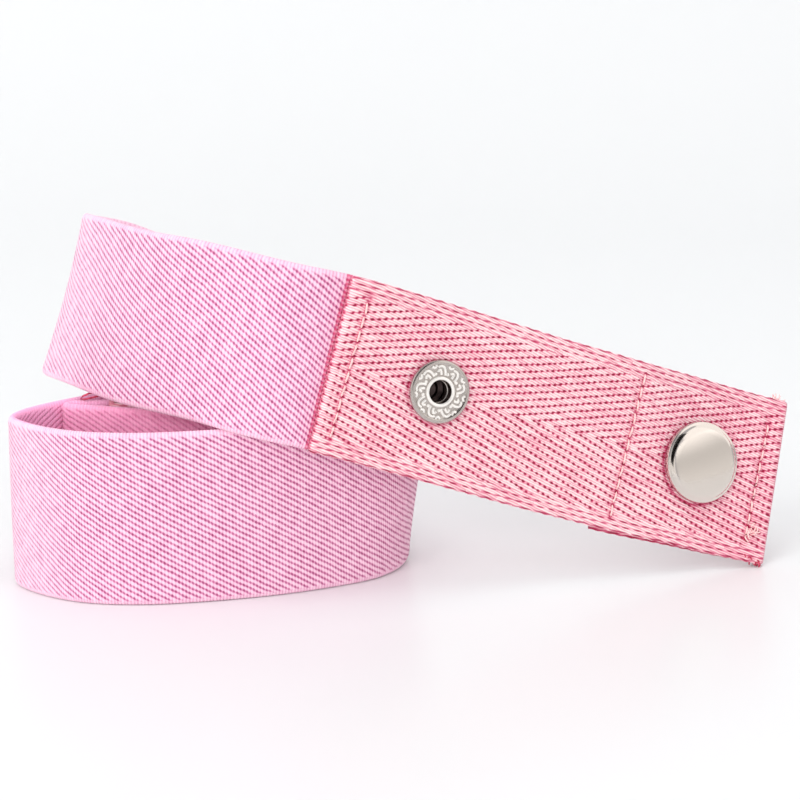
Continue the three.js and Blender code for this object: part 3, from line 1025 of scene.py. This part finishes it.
@dataclass
class TabWebbing:
    """A tab's webbing: turned back behind its end, forward along the front and hemmed under at the joint."""

    side: TabSide
    step: float
    front_points: int
    raw_end_drop: float
    fold_rise: float
    finish: HerringboneWeave = field(default_factory=HerringboneWeave)
    pit_depth: float = 0.1 * MM
    yarn_depth: float = 0.03 * MM
    fold_steps: int = 14

    @staticmethod
    def layer(start: float, end: float, offset: float, angle: float, pitch: float,
              slides: tuple[float, float] = (0, 0)) -> np.ndarray:
        """Rings of a straight layer.

        Args:
            start: the first ring's distance from the folded end.
            end: the last ring's.
            offset: the layer's offset from the band's middle.
            angle: how far its face is turned, in radians.
            pitch: the most that two rings are apart.
            slides: how far its two ends are moved across.

        Returns:
            A row for each ring: distance, offset, angle and slide.
        """
        count = max(2, math.ceil(abs(end - start) / pitch))
        share = np.arange(count + 1) / count
        flat = np.ones(count + 1)
        slide = slides[0] + (slides[1] - slides[0]) * share
        return np.column_stack([start + (end - start) * share, offset * flat, angle * flat, slide])

    def fold(self, centre: float, middle: float, start_angle: float, slide: float = 0) -> np.ndarray:
        """Rings of half a turn.

        Args:
            centre: the distance of the fold's middle from the folded end.
            middle: its offset.
            start_angle: how far the face is turned before it, in radians.
            slide: how far its start is moved across; its end isn't.

        Returns:
            A row for each ring: distance, offset, angle and slide.
        """
        share = np.arange(1, self.fold_steps) / self.fold_steps
        angle = start_angle - math.pi * share
        radius = LAYER_STEP / 2
        return np.column_stack([centre - radius * np.sin(angle), middle + radius * np.cos(angle),
                                angle, slide * (1 - share)])

    def strip(self) -> np.ndarray:
        """The strip's path, from its turned-back end to its hem.

        Returns:
            A row for each ring: tab distance, offset, angle and slide.
        """
        radius = LAYER_STEP / 2
        end = radius + HALF_WEBBING
        joint = TAB_LENGTH - end
        return np.vstack([
            self.layer(TURNED_BACK_LENGTH, end, TURNED_BACK_OFFSET, math.pi, 2.2 * self.step,
                       (-self.raw_end_drop, self.fold_rise)),
            self.fold(end, FRONT_OFFSET - radius, math.pi, self.fold_rise),
            self.layer(end, joint, FRONT_OFFSET, 0, self.step),
            self.fold(joint, HEM_OFFSET + radius, 0),
            self.layer(joint, TAB_LENGTH - HEM_LENGTH, HEM_OFFSET, -math.pi, 4 * self.step),
        ])

    def puckers(self, distance: np.ndarray, v: np.ndarray) -> np.ndarray:
        """How far the cloth is drawn in at the seams and under the snaps, in metres.

        Args:
            distance: distances from the folded end, in metres.
            v: distances across from the middle, in metres.

        Returns:
            The drop of the surface at each place.
        """
        drop = np.zeros(np.broadcast(distance, v).shape)
        held = 1 - smooth_step(np.abs(v), 12.8 * MM, 14.2 * MM)
        for seam in SEAMS:
            near = distance - seam.place + seam.lean * v
            swell = 0.05 * MM * bell(np.abs(near) - 2 * MM, 0.9 * MM)
            drop += held * (0.17 * MM * bell(near, 0.75 * MM) - swell)
        for centre, radius in ((CAP_PLACE, CAP_RADIUS), (EYELET_PLACE, EYELET_RADIUS)):
            past = np.hypot(distance - centre, v - SNAP_RAISE) - radius - 0.05 * MM
            drop += 0.16 * MM * (1 - smooth_step(past, 0, 1.6 * MM))
        return drop

    def build(self) -> bpy.types.Object:
        """Builds the webbing, with the snaps' holes.

        Returns:
            The webbing.
        """
        distance, offset, angle, slide = self.strip().T
        run = np.concatenate([[0], np.cumsum(np.hypot(np.diff(distance), np.diff(offset)))])
        front_start = run[np.argmax(angle == 0)]
        u = -(run - front_start + LAYER_STEP / 2 + HALF_WEBBING)[:, None] / MM
        places = self.side.frames(distance)
        section = BandSection(WEBBING_THICKNESS, edge_points=4)
        front = np.linspace(section.flat, -section.flat, self.front_points)
        back = np.linspace(-section.flat, section.flat, 12)
        across, through, share = section.outline(front, back)
        v = across / MM
        yarn = 0.5 + 0.5 * np.cos(math.tau * (v + self.finish.slope * u) / self.finish.strand)
        on_front = (angle == 0)[:, None]
        drop = share * (self.pit_depth * self.finish.relief(u, v[None, :]) + self.yarn_depth * yarn
                        + on_front * self.puckers(distance[:, None], across))
        wobble = np.sin(u / 3.1 + 1.7 * np.sin(u / 11))
        ripple = 0.07 * MM * wobble * smooth_step(np.abs(v), 10, 16) * np.sign(v)
        edge = 0.06 * MM * np.sin(u * math.pi / self.finish.pick) * smooth_step(np.abs(v), 15.4, 16)
        normal = places.outward * np.cos(angle)[:, None] - places.along * np.sin(angle)[:, None]
        centre = places.point + places.outward * offset[:, None] + places.across * slide[:, None]
        rings = (centre[:, None] + places.across[:, None] * (across + edge * np.sign(v))[..., None]
                 + normal[:, None] * (through - drop + ripple)[..., None])
        piece = loft(f"{self.side.value}_webbing", rings, u, across, through < 0)
        self.pierce(piece)
        return piece

    def pierce(self, piece: bpy.types.Object) -> None:
        """Cuts the snaps' holes through the webbing.

        Args:
            piece: the webbing.
        """
        for distance, radius in ((CAP_PLACE, 2.3 * MM), (EYELET_PLACE, 2.75 * MM)):
            deselect()
            bpy.ops.mesh.primitive_cylinder_add(vertices=40, radius=radius, depth=9 * MM)
            cutter = bpy.context.object
            cutter.data.transform(snap_place(self.side, distance))
            cutter.matrix_world = Matrix.Identity(4)
            hole = piece.modifiers.new("hole", "BOOLEAN")
            hole.operation = "DIFFERENCE"
            hole.solver = "EXACT"
            hole.object = cutter
            deselect()
            piece.select_set(True)
            bpy.context.view_layer.objects.active = piece
            bpy.ops.object.modifier_apply(modifier=hole.name)
            bpy.data.objects.remove(cutter)


def snap_place(side: TabSide, distance: float) -> Matrix:
    """Where a snap sits: its axis outward, its origin on the front layer's middle.

    Args:
        side: the tab.
        distance: the distance from the tab's folded end, in metres.

    Returns:
        The snap's place as a matrix.
    """
    places = side.frames(np.array([distance]))
    along, across, outward = (Vector(x[0]) for x in (places.along, places.across, places.outward))
    origin = Vector(places.point[0]) + outward * FRONT_OFFSET + across * SNAP_RAISE
    return Matrix.Translation(origin) @ Matrix((across, along, outward)).transposed().to_4x4()


# Snaps

FRONT_SEAT = HALF_WEBBING + SEAM_GAP
DOUBLE_BACK_SEAT = -(HALF_WEBBING + LAYER_STEP + SEAM_GAP)
SINGLE_BACK_SEAT = -(HALF_WEBBING + SEAM_GAP)

Profile = list[tuple[float, float]]


@dataclass
class SnapPair:
    """A tab's cap with its socket, and its eyelet with its stud; sizes in millimetres."""

    side: TabSide
    nickel: bpy.types.Material
    ring_nickel: bpy.types.Material
    painted_glint_nickel: bpy.types.Material
    painted_shade_nickel: bpy.types.Material
    cap_height: float = 2.3
    hole_radius: float = 2.15
    scroll_radius: float = 0.27
    scroll_count: int = 9

    def seat(self, height: float) -> float:
        """A height above the front seat."""
        return FRONT_SEAT / MM + height

    def raised(self, steps: Profile) -> Profile:
        """Profile points whose heights are given above the front seat."""
        return [(radius, self.seat(height)) for radius, height in steps]

    def turn(self, kind: str, profile: Profile, distance: float, metal: bpy.types.Material,
             segments: int = 72, smooth: float = 40) -> bpy.types.Object:
        """Spins a round snap piece about its axis and puts it in place of its solid.

        Args:
            kind: the piece's name without its tab.
            profile: radius and height of each point round its section, in millimetres; it closes on itself,
                or starts and ends on the axis.
            distance: its place on the tab, in metres.
            metal: its finish.
            segments: sides round the axis.
            smooth: the angle up to which edges are smoothed, in degrees.

        Returns:
            The piece.
        """
        deselect()
        bpy.ops.mesh.primitive_plane_add(size=1 * MM)
        piece = bpy.context.object
        piece.name = piece.data.name = f"{self.side.value}_{kind}"
        section = bmesh.new()
        verts = [section.verts.new((radius * MM, 0, height * MM)) for radius, height in profile]
        on_axis = profile[0][0] == 0
        for a, b in zip(verts, verts[1:] + ([] if on_axis else verts[:1])):
            section.edges.new((a, b))
        section.to_mesh(piece.data)
        section.free()
        bpy.ops.object.mode_set(mode="EDIT")
        bpy.ops.mesh.select_all(action="SELECT")
        bpy.ops.mesh.spin(steps=segments, angle=math.tau, center=(0, 0, 0), axis=(0, 0, 1))
        bpy.ops.mesh.select_all(action="SELECT")
        bpy.ops.mesh.remove_doubles(threshold=1e-6)
        bpy.ops.mesh.normals_make_consistent(inside=False)
        bpy.ops.object.mode_set(mode="OBJECT")
        bpy.ops.object.shade_smooth_by_angle(angle=math.radians(smooth))
        piece.data.transform(snap_place(self.side, distance))
        settle(piece, metal, (f"{self.side.value}_snap_{kind}",))
        return piece

    def cap(self) -> None:
        """Adds the flat-domed cap with its sloping shoulder and rolled rim."""
        r, h = CAP_RADIUS / MM, self.cap_height
        foot = DOUBLE_BACK_SEAT / MM - 0.5
        rim = [(r - 0.45, -0.05), (r - 0.1, 0.02), (r - 0.01, 0.15), (r, 0.4), (r, 0.75), (r - 0.03, 0.92),
               (r - 0.1, 1.06), (r - 0.2, 1.12), (r - 0.53, 1.19)]
        shoulder = [(r - 0.58, 1.22), (r - 0.66, 1.29), (r - 0.8, 1.39), (r - 0.98, 1.49), (r - 1.16, 1.57)]
        dome_edge, sag = r - 1.35, h - 1.64
        dome = [(dome_edge * x, h - sag * x * x) for x in (1, 0.85, 0.7, 0.55, 0.4, 0.25, 0.12, 0)]
        profile = [(0, foot), (2, foot), (2, self.seat(-0.05))] + self.raised(rim + shoulder + dome)
        self.turn("cap", profile, CAP_PLACE, self.nickel, segments=144, smooth=50)

    def socket(self) -> None:
        """Adds the socket behind the cap, with its spring bore."""
        back = DOUBLE_BACK_SEAT / MM
        steps = [(2.3, 0), (2.3, 0.9), (3.5, 0.9), (3.5, 2.3), (3.35, 2.6), (3.7, 2.8), (4.5, 2.78),
                 (4.8, 2.5), (5.1, 2.3), (5.7, 2.1), (6.1, 1.7), (6.3, 1.2), (6.3, 0.3), (6.2, 0.1), (6, 0)]
        self.turn("socket", [(radius, back - depth) for radius, depth in steps], CAP_PLACE, self.nickel)

    def eyelet(self) -> None:
        """Adds the ring with its smooth border and a tube through the webbing."""
        r, hole = EYELET_RADIUS / MM, self.hole_radius
        foot = SINGLE_BACK_SEAT / MM - 1.0
        border = [(r - 0.2, 0), (r - 0.02, 0.12), (r, 0.32), (r - 0.09, 0.52), (r - 0.28, 0.68),
                  (r - 0.52, 0.76), (r - 0.74, 0.72), (r - 0.88, 0.58), (r - 1.0, 0.5)]
        face = [(r - 1.8, 0.48), (hole + 0.75, 0.5), (hole + 0.3, 0.6), (hole, 0.5)]
        tube = [(hole, -0.3), (hole - 0.13, -0.4), (hole - 0.13, -0.55), (hole, -0.65),
                (hole, foot + 0.5), (hole - 0.1, foot + 0.3), (hole - 0.1, foot), (hole + 0.45, foot),
                (hole + 0.45, self.seat(0))]
        self.turn("eyelet", tube + self.raised(border + face), EYELET_PLACE, self.ring_nickel, segments=96)

    def on_ring(self, radius: float, turn: float) -> tuple[float, float, float]:
        """A place on the ring's face in its own frame, in metres, from its radius and turn in degrees."""
        angle = math.radians(turn)
        return radius * math.cos(angle) * MM, radius * math.sin(angle) * MM, self.seat(0.5) * MM

    def scroll(self, steps: Profile) -> bpy.types.Object:
        """One raised stroke on the ring.

        Args:
            steps: radius and turn in degrees of the five points that it bends through.

        Returns:
            The stroke, in the ring's own frame.
        """
        deselect()
        bpy.ops.curve.primitive_nurbs_path_add()
        stroke = bpy.context.object
        curve = stroke.data
        for point, (radius, turn) in zip(curve.splines[0].points, steps):
            point.co = (*self.on_ring(radius, turn), 1)
        curve.splines[0].resolution_u = 2
        curve.bevel_depth = self.scroll_radius * MM
        curve.bevel_resolution = 1
        curve.use_fill_caps = True
        stroke.matrix_world = Matrix.Identity(4)
        bpy.ops.object.convert(target="MESH")
        return bpy.context.object

    def bead(self, radius: float, turn: float, size: float) -> bpy.types.Object:
        """A small raised bead on the ring.

        Args:
            radius: its distance from the axis.
            turn: its turn about the axis, in degrees.
            size: its own radius.

        Returns:
            The bead, in the ring's own frame.
        """
        deselect()
        bpy.ops.mesh.primitive_ico_sphere_add(subdivisions=2, radius=size * MM)
        bead = bpy.context.object
        bead.data.transform(Matrix.Translation(self.on_ring(radius, turn)))
        bead.matrix_world = Matrix.Identity(4)
        return bead

    def relief(self) -> None:
        """Adds the bright lip round the hole and the ring's raised scrolls, one motif copied round; their
        lighter metal is a painted highlight for their glints.
        """
        motif = [
            self.scroll([(3.05, 0), (3.8, 1), (4.85, 5), (4.9, 15), (4.45, 23)]),
            self.scroll([(3.1, 13), (3.5, 16), (4.15, 13), (4.2, 20), (3.6, 25)]),
            self.scroll([(4.85, 25), (4.7, 28), (4.2, 31), (4.5, 34), (4.85, 36)]),
            self.bead(3.35, 33, 0.34),
        ]
        pieces = list(motif)
        for i in range(1, self.scroll_count):
            for part in motif:
                mesh = part.data.copy()
                mesh.transform(Matrix.Rotation(i * math.tau / self.scroll_count, 4, "Z"))
                pieces.append(linked(mesh))
        deselect()
        bpy.ops.mesh.primitive_torus_add(major_segments=72, minor_segments=12,
                                         major_radius=(self.hole_radius + 0.3) * MM, minor_radius=0.32 * MM)
        lip = bpy.context.object
        lip.data.transform(Matrix.Translation((0, 0, self.seat(0.56) * MM)))
        lip.matrix_world = Matrix.Identity(4)
        for part in pieces:
            part.select_set(True)
        bpy.ops.object.join()
        lip.name = lip.data.name = f"{self.side.value}_ring_relief"
        bpy.ops.object.shade_smooth()
        lip.data.transform(snap_place(self.side, EYELET_PLACE))
        # Painted highlight: the relief takes a lighter, less metallic copy of the ring's metal.
        settle(lip, self.painted_glint_nickel)

    def stud(self) -> None:
        """Adds the hollow stud behind the eyelet, darker inside: a dark metal in its cavity is painted shade.
        """
        back = SINGLE_BACK_SEAT / MM
        steps = [(0, 4.2), (2.3, 4.2), (2.9, 3.95), (3.2, 3.4), (3.2, 2.9), (3.05, 2.3), (3.0, 1.6),
                 (3.2, 0.75), (5.3, 0.7), (5.65, 0.5), (5.75, 0.2), (5.6, 0), (2.85, 0), (2.72, 1.1),
                 (2.7, 3.3), (1.9, 3.7), (1.5, 3.45), (1.25, 3.45), (0.9, 3.7), (0, 3.7)]
        profile = [(radius, back - depth) for radius, depth in steps]
        piece = self.turn("stud", profile, EYELET_PLACE, self.ring_nickel)
        # Painted shade: the cavity's faces take the dark copy of the metal.
        piece.data.materials.append(self.painted_shade_nickel)
        own = snap_place(self.side, EYELET_PLACE).inverted()
        for face in piece.data.polygons:
            middle = own @ face.center
            if math.hypot(middle.x, middle.y) < 2.87 * MM and middle.z > (back - 3.8) * MM:
                face.material_index = 1

    def build(self) -> None:
        """Builds the tab's snap pieces."""
        self.cap()
        self.socket()
        self.eyelet()
        self.relief()
        self.stud()


# Thread


@dataclass
class ThreadWork:
    """Stitches of a tab's seams and its loose thread ends."""

    side: TabSide
    radius: float = 0.2 * MM
    arch: float = 0.24 * MM
    sink: float = 0.1 * MM
    loose_steps: int = 8

    def tube(self, mesh: bmesh.types.BMesh, points: np.ndarray, radius: float, sides: int = 6) -> None:
        """Adds a thread, closed at both ends.

        Args:
            mesh: the mesh that takes the thread.
            points: places along the thread, one a row.
            radius: its radius.
            sides: its sides.
        """
        tangents = unit(np.gradient(points, axis=0))
        guide = np.array([0.31, 0.17, 0.93])
        rings = []
        for i, (point, tangent) in enumerate(zip(points, tangents)):
            u = unit(np.cross(tangent, guide))
            w = np.cross(tangent, u)
            thin = radius * (0.45 if i in (0, len(points) - 1) else 1.0)
            rings.append([mesh.verts.new(point + thin * (u * math.cos(a) + w * math.sin(a)))
                          for a in np.linspace(0, math.tau, sides, endpoint=False)])
        for first, second in zip(rings, rings[1:]):
            for k in range(sides):
                mesh.faces.new((first[k], first[(k + 1) % sides], second[(k + 1) % sides], second[k]))
        mesh.faces.new(rings[0][::-1])
        mesh.faces.new(rings[-1])

    def surface(self, distance: float, v: float, offset: float) -> tuple[np.ndarray, np.ndarray]:
        """A place on the tab.

        Args:
            distance: its distance from the folded end.
            v: its height across.
            offset: its offset from the band's middle.

        Returns:
            The place, and the outward direction there.
        """
        places = self.side.frames(np.array([distance]))
        point = places.point[0] + places.across[0] * v + places.outward[0] * offset
        return point, places.outward[0]

    def stitches(self, mesh: bmesh.types.BMesh) -> None:
        """Adds the front and back stitches of all seams.

        Args:
            mesh: the mesh that takes the threads.
        """
        chooser = random.Random(11 if self.side is TabSide.OUTER else 12)
        bite = 0.06 * MM
        for seam in SEAMS:
            v = -seam.reach_down
            while v + STITCH_LENGTH <= seam.reach_up + 0.5 * MM:
                slant = chooser.uniform(-0.12, 0.16) * MM
                for level, sign in ((FRONT_OFFSET + HALF_WEBBING - bite, 1), (seam.back_offset + bite, -1)):
                    points = []
                    for share in np.linspace(0, 1, 7):
                        arch = (math.sin(math.pi * share) ** 0.6) * self.arch - self.sink
                        at = v + share * STITCH_LENGTH
                        distance = seam.place - seam.lean * at + slant * (share - 0.5) * 2
                        place, out = self.surface(distance, at, level)
                        points.append(place + out * arch * sign)
                    self.tube(mesh, np.array(points), self.radius)
                v += STITCH_PITCH

    def loose(self, mesh: bmesh.types.BMesh, start: tuple[float, float], reach: float, heading: float,
              curl: float, level: float, radius: float, lift: float) -> None:
        """Adds one loose thread that lies on the tab or sticks out past its edge.

        Args:
            mesh: the mesh that takes the thread.
            start: its distance from the folded end and its height across.
            reach: its length.
            heading: the way that it leaves, in degrees from the elastic's side towards the upper edge.
            curl: how far it turns along its length, in degrees.
            level: its offset from the band's middle.
            radius: its own radius.
            lift: how far it rises over the surface.
        """
        distance, v = start
        points = []
        for i in range(self.loose_steps + 1):
            share = i / self.loose_steps
            place, out = self.surface(distance, v, level)
            points.append(place + out * lift * math.sin(math.pi * share))
            angle = math.radians(heading + curl * share)
            distance += math.cos(angle) * reach / self.loose_steps
            v += math.sin(angle) * reach / self.loose_steps
        self.tube(mesh, np.array(points), radius, 5)

    def frays(self, mesh: bmesh.types.BMesh) -> None:
        """Adds the loose ends at the end seam, at the fold's upper corner and at the turned-back raw end.

        Args:
            mesh: the mesh that takes the threads.
        """
        draw = random.Random(21).uniform
        fine = self.radius * 0.5
        for _ in range(7):
            start = (END_SEAM.place + draw(-0.5, 0.5) * MM, draw(-1.4, 1.6) * MM - END_SEAM.reach_down)
            self.loose(mesh, start, draw(1.4, 3.0) * MM, draw(0, 360), draw(-200, 200),
                       FRONT_OFFSET + HALF_WEBBING + 0.05 * MM, fine * 1.5, 0.35 * MM)
        upward = 1 if self.side is TabSide.OUTER else -1
        for _ in range(9):
            start = (draw(1.2, 3.2) * MM, upward * (BAND_WIDTH / 2 - 0.5 * MM))
            self.loose(mesh, start, draw(1.2, 2.2) * MM, upward * draw(60, 125), draw(-50, 50),
                       TURNED_BACK_OFFSET + draw(0, 1) * LAYER_STEP, fine, 0.1 * MM)
        for _ in range(16):
            start = (TURNED_BACK_LENGTH - 0.6 * MM, draw(-1, 1) * (BAND_WIDTH / 2 - 0.4 * MM))
            self.loose(mesh, start, draw(1.0, 2.2) * MM, draw(-40, 40), draw(-60, 60),
                       TURNED_BACK_OFFSET - HALF_WEBBING, fine, -0.2 * MM)

    def finish(self, mesh: bmesh.types.BMesh, kind: str, material: bpy.types.Material) -> bpy.types.Object:
        """Makes threads a dressed piece of the tab; what would reach below the floor is brought up to it.

        Args:
            mesh: the threads; it is used up.
            kind: the piece's name without its tab.
            material: its finish.

        Returns:
            The piece.
        """
        for vertex in mesh.verts:
            vertex.co.z = max(vertex.co.z, 0.0)
        made = bpy.data.meshes.new(f"{self.side.value}_{kind}")
        mesh.to_mesh(made)
        mesh.free()
        made.polygons.foreach_set("use_smooth", [True] * len(made.polygons))
        piece = linked(made)
        settle(piece, material)
        return piece

    def build(self, material: bpy.types.Material) -> bpy.types.Object:
        """Builds the tab's stitches and loose threads as one piece.

        Args:
            material: their finish.

        Returns:
            The stitches.
        """
        mesh = bmesh.new()
        self.stitches(mesh)
        self.frays(mesh)
        return self.finish(mesh, "stitches", material)


@dataclass
class PulledYarn:
    """Crimson yarn pulled out of a tab: a loop at the inner one's corner, a raw fringe at the outer's."""

    threads: ThreadWork
    radius: float = 0.2 * MM
    ends: int = 15
    loop: tuple[tuple[float, float, float], ...] = (
        (-54.6, -1.2, 32.0), (-55.6, -0.5, 32.9), (-56.7, 0, 33.3), (-58.2, 0.2, 33.45), (-59.6, 0.3, 33.3),
        (-60.7, 0.3, 32.8), (-61.2, 0.3, 32.3), (-60.4, 0.1, 32.25), (-58.9, 0, 32.6), (-57.6, 0, 32.95),
        (-56.6, -0.1, 33.0), (-55.2, -0.8, 32.2),
    )

    def fringe(self, mesh: bmesh.types.BMesh) -> None:
        """Adds short yarn ends at the folded end's lower corner.

        Args:
            mesh: the mesh that takes the threads.
        """
        draw = random.Random(31).uniform
        for i in range(self.ends):
            start = (draw(1.0, 4.4) * MM, draw(0.1, 1.0) * MM - BAND_WIDTH / 2)
            self.threads.loose(
                mesh, start, draw(0.8, 1.6) * MM, draw(-60, 60) + 180 * (i % 2), draw(-120, 120),
                FRONT_OFFSET + HALF_WEBBING - draw(0, 1) * LAYER_STEP, self.radius * 0.8, 0.3 * MM)

    def build(self) -> bpy.types.Object:
        """Builds the tab's pulled yarn.

        Returns:
            The yarn.
        """
        mesh = bmesh.new()
        if self.threads.side is TabSide.OUTER:
            self.fringe(mesh)
        else:
            self.threads.tube(mesh, np.array(self.loop) * MM, self.radius)
        return self.threads.finish(mesh, "pulled_yarn", CrimsonYarn().material())


# Studio

Triple = tuple[float, float, float]


@dataclass
class ShineCard:
    """A bright or dark card that only shiny surfaces see; its glow is given at the bottom, middle and top."""

    name: str
    place: Triple
    size: tuple[float, float]
    glow: Triple
    long_axis: Triple = (0.0, 0.0, 1.0)
    aim: Triple = (0.053, 0.003, 0.019)

    def build(self) -> None:
        """Builds the card, facing its aim."""
        deselect()
        bpy.ops.mesh.primitive_plane_add(size=1)
        card = bpy.context.object
        card.name = self.name
        facing = (Vector(self.aim) - Vector(self.place)).normalized()
        side = Vector(self.long_axis).cross(facing).normalized()
        turn = Matrix((side, facing.cross(side), facing)).transposed().to_4x4()
        card.data.transform(Matrix.Translation(self.place) @ turn @ Matrix.Diagonal((*self.size, 1, 1)))
        card.visible_camera = card.visible_diffuse = card.visible_shadow = False
        card.data.materials.append(self.material([v.co.z for v in card.data.vertices]))
        card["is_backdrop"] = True

    def material(self, heights: list[float]) -> bpy.types.Material:
        """Builds the card's glow, which changes over its height.

        Args:
            heights: the heights of its corners, in metres.

        Returns:
            The material.
        """
        g = Graph(self.name)
        height = g.split(g.own_place())[2]
        middle = sum(heights) / len(heights)
        lower = g.blend(g.rise(height, min(heights), middle), self.glow[0], self.glow[1])
        glow = g.blend(g.rise(height, middle, max(heights)), lower, self.glow[2])
        return g.dress({"Base Color": srgb(12, 11, 11), "Roughness": 1.0, "Specular IOR Level": 0.0,
                        "Emission Color": (1.0, 0.985, 0.96, 1.0), "Emission Strength": glow})


CARDS = (
    ShineCard("right_card", (1.05, -0.58, 0.33), (1.5, 0.75), (0.95, 0.77, 1.6)),
    ShineCard("upper_card", (0.78, -0.233, 0.81), (1.1, 0.6), (1.35, 1.35, 1.35)),
    ShineCard("left_card", (-0.84, -0.3, 0.47), (0.8, 0.8), (1.3, 1.3, 1.3)),
    ShineCard("front_card", (-0.1, -1.0, 0.2), (0.9, 0.5), (1.0, 1.0, 1.0)),
    ShineCard("back_card", (0.68, 0.336, 0.573), (1.0, 0.95), (1.25, 1.25, 1.25)),
    ShineCard("dark_card", (0.035, -0.539, 0.481), (0.42, 0.8), (0.0, 0.0, 0.0), (0.507, 0.702, 0.501)),
)


@dataclass
class Softbox:
    """A square soft light that faces the belt; place and size in metres, power in watts."""

    name: str
    place: Triple
    size: float
    power: float
    colour: Triple = (1.0, 1.0, 1.0)
    aim: Triple = (0.0, 0.0, 0.03)

    def build(self) -> None:
        """Adds the light."""
        data = bpy.data.lights.new(self.name, "AREA")
        data.size = self.size
        data.energy = self.power
        data.color = self.colour
        light = bpy.data.objects.new(self.name, data)
        light.location = self.place
        light.visible_glossy = False
        light.rotation_euler = (Vector(self.aim) - Vector(self.place)).to_track_quat("-Z", "Y").to_euler()
        bpy.context.scene.collection.objects.link(light)


SOFTBOXES = (
    Softbox("key", (-1.05, -1.35, 1.2), 0.9, 11.5),
    Softbox("front", (0.1, -1.7, 0.45), 0.8, 11.5),
    Softbox("left", (-1.6, -0.5, 0.6), 0.8, 6.5),
    Softbox("top", (0.1, -0.2, 2.0), 1.4, 12),
    Softbox("fill", (0.9, -0.95, 0.8), 1.1, 0.6, (1.0, 0.97, 0.94)),
)


@dataclass
class Studio:
    """Plain pale floor, soft lights and the camera."""

    camera_place: Vector = Vector((0, -379.17, 132.65)) * MM + ORIGIN_SHIFT
    elevation: float = 14.0
    lens: float = 100.26
    sky_colour: Colour = (0.99, 0.99, 1.02, 1)
    sky_strength: float = 0.585
    floor_width: float = 6.0
    floor_front: float = -3.0
    floor_back: float = 0.35
    sweep_radius: float = 0.5
    sweep_steps: int = 16
    wall_height: float = 2.0

    def camera(self) -> None:
        """Adds the camera, looking along +Y and a little down."""
        data = bpy.data.cameras.new("camera")
        data.lens = self.lens
        data.sensor_width = 36
        data.clip_start = 0.01
        camera = bpy.data.objects.new("camera", data)
        camera.location = self.camera_place
        camera.rotation_euler = (math.radians(90 - self.elevation), 0, 0)
        bpy.context.scene.collection.objects.link(camera)
        bpy.context.scene.camera = camera

    def floor(self) -> None:
        """Adds a wide floor that sweeps up behind the belt."""
        deselect()
        bpy.ops.mesh.primitive_plane_add(size=1)
        floor = bpy.context.object
        floor.name = "floor"
        floor.data.transform(Matrix.Diagonal((self.floor_width, self.floor_back - self.floor_front, 1, 1)))
        floor.data.transform(Matrix.Translation((0, (self.floor_back + self.floor_front) / 2, 0)))
        bpy.ops.object.mode_set(mode="EDIT")
        bpy.ops.mesh.select_mode(type="EDGE")
        bpy.ops.mesh.select_all(action="DESELECT")
        bpy.ops.object.mode_set(mode="OBJECT")
        for edge in floor.data.edges:
            edge.select = all(floor.data.vertices[i].co.y > self.floor_back - 0.01 for i in edge.vertices)
        bpy.ops.object.mode_set(mode="EDIT")
        bend = math.pi / 2 / self.sweep_steps
        chord = 2 * self.sweep_radius * math.sin(bend / 2)
        rises = [bend * (i + 0.5) for i in range(self.sweep_steps)]
        steps = [(0, chord * math.cos(rise), chord * math.sin(rise)) for rise in rises]
        for step in steps + [(0, 0, self.wall_height)]:
            bpy.ops.mesh.extrude_region_move(TRANSFORM_OT_translate={"value": step})
        bpy.ops.mesh.select_all(action="SELECT")
        bpy.ops.mesh.normals_make_consistent(inside=False)
        bpy.ops.object.mode_set(mode="OBJECT")
        bpy.ops.object.shade_smooth()
        floor.data.materials.append(PaleFloor().material())
        floor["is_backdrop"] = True

    def build(self) -> None:
        """Sets the studio up."""
        scene = bpy.context.scene
        scene.view_settings.view_transform = "Standard"
        scene.world = bpy.data.worlds.new("studio")
        scene.world.use_nodes = True
        sky = scene.world.node_tree.nodes["Background"]
        sky.inputs[0].default_value = self.sky_colour
        sky.inputs[1].default_value = self.sky_strength
        self.camera()
        self.floor()
        for light in SOFTBOXES + CARDS:
            light.build()


def main() -> None:
    """Builds the studio and the belt, piece by piece."""
    logging.basicConfig(level=logging.INFO, format="%(name)s: %(message)s")
    solid_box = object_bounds()
    Studio().build()
    ElasticBand().build()
    metals = [metal.material() for metal in (
        SatinNickel("satin_nickel"),
        SatinNickel("ring_nickel", srgb(192, 184, 179), 0.24),
        # A lighter, less metallic copy: painted highlight on the ring's relief.
        SatinNickel("painted_glint_nickel", srgb(246, 242, 237), 0.3, metallic=0.55),
        # A dark copy: painted shade in the stud's cavity.
        SatinNickel("painted_shade_nickel", srgb(82, 70, 70), 0.3),
    )]
    thread = SeamThread().material()
    webbing_finish = HerringboneWeave().material()
    sheet_length = TURNED_BACK_LENGTH + TAB_LENGTH + HEM_LENGTH + BOTH_FOLDS_LENGTH
    for webbing in (
        TabWebbing(TabSide.OUTER, 0.26 * MM, 157, raw_end_drop=0.6 * MM, fold_rise=0.25 * MM),
        TabWebbing(TabSide.INNER, 0.7 * MM, 50, raw_end_drop=1.2 * MM, fold_rise=-1.2 * MM),
    ):
        side = webbing.side
        piece = webbing.build()
        threads = ThreadWork(side)
        stitches = threads.build(thread)
        settle(piece, webbing_finish, (f"{side.value}_tab_webbing",))
        PulledYarn(threads).build()
        SnapPair(side, *metals).build()
    looks_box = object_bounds()
    ({"solids": [[float(x) for x in corner] for corner in solid_box],
               "looks": [[float(x) for x in corner] for corner in looks_box]})


if __name__ == "__main__":
    main()
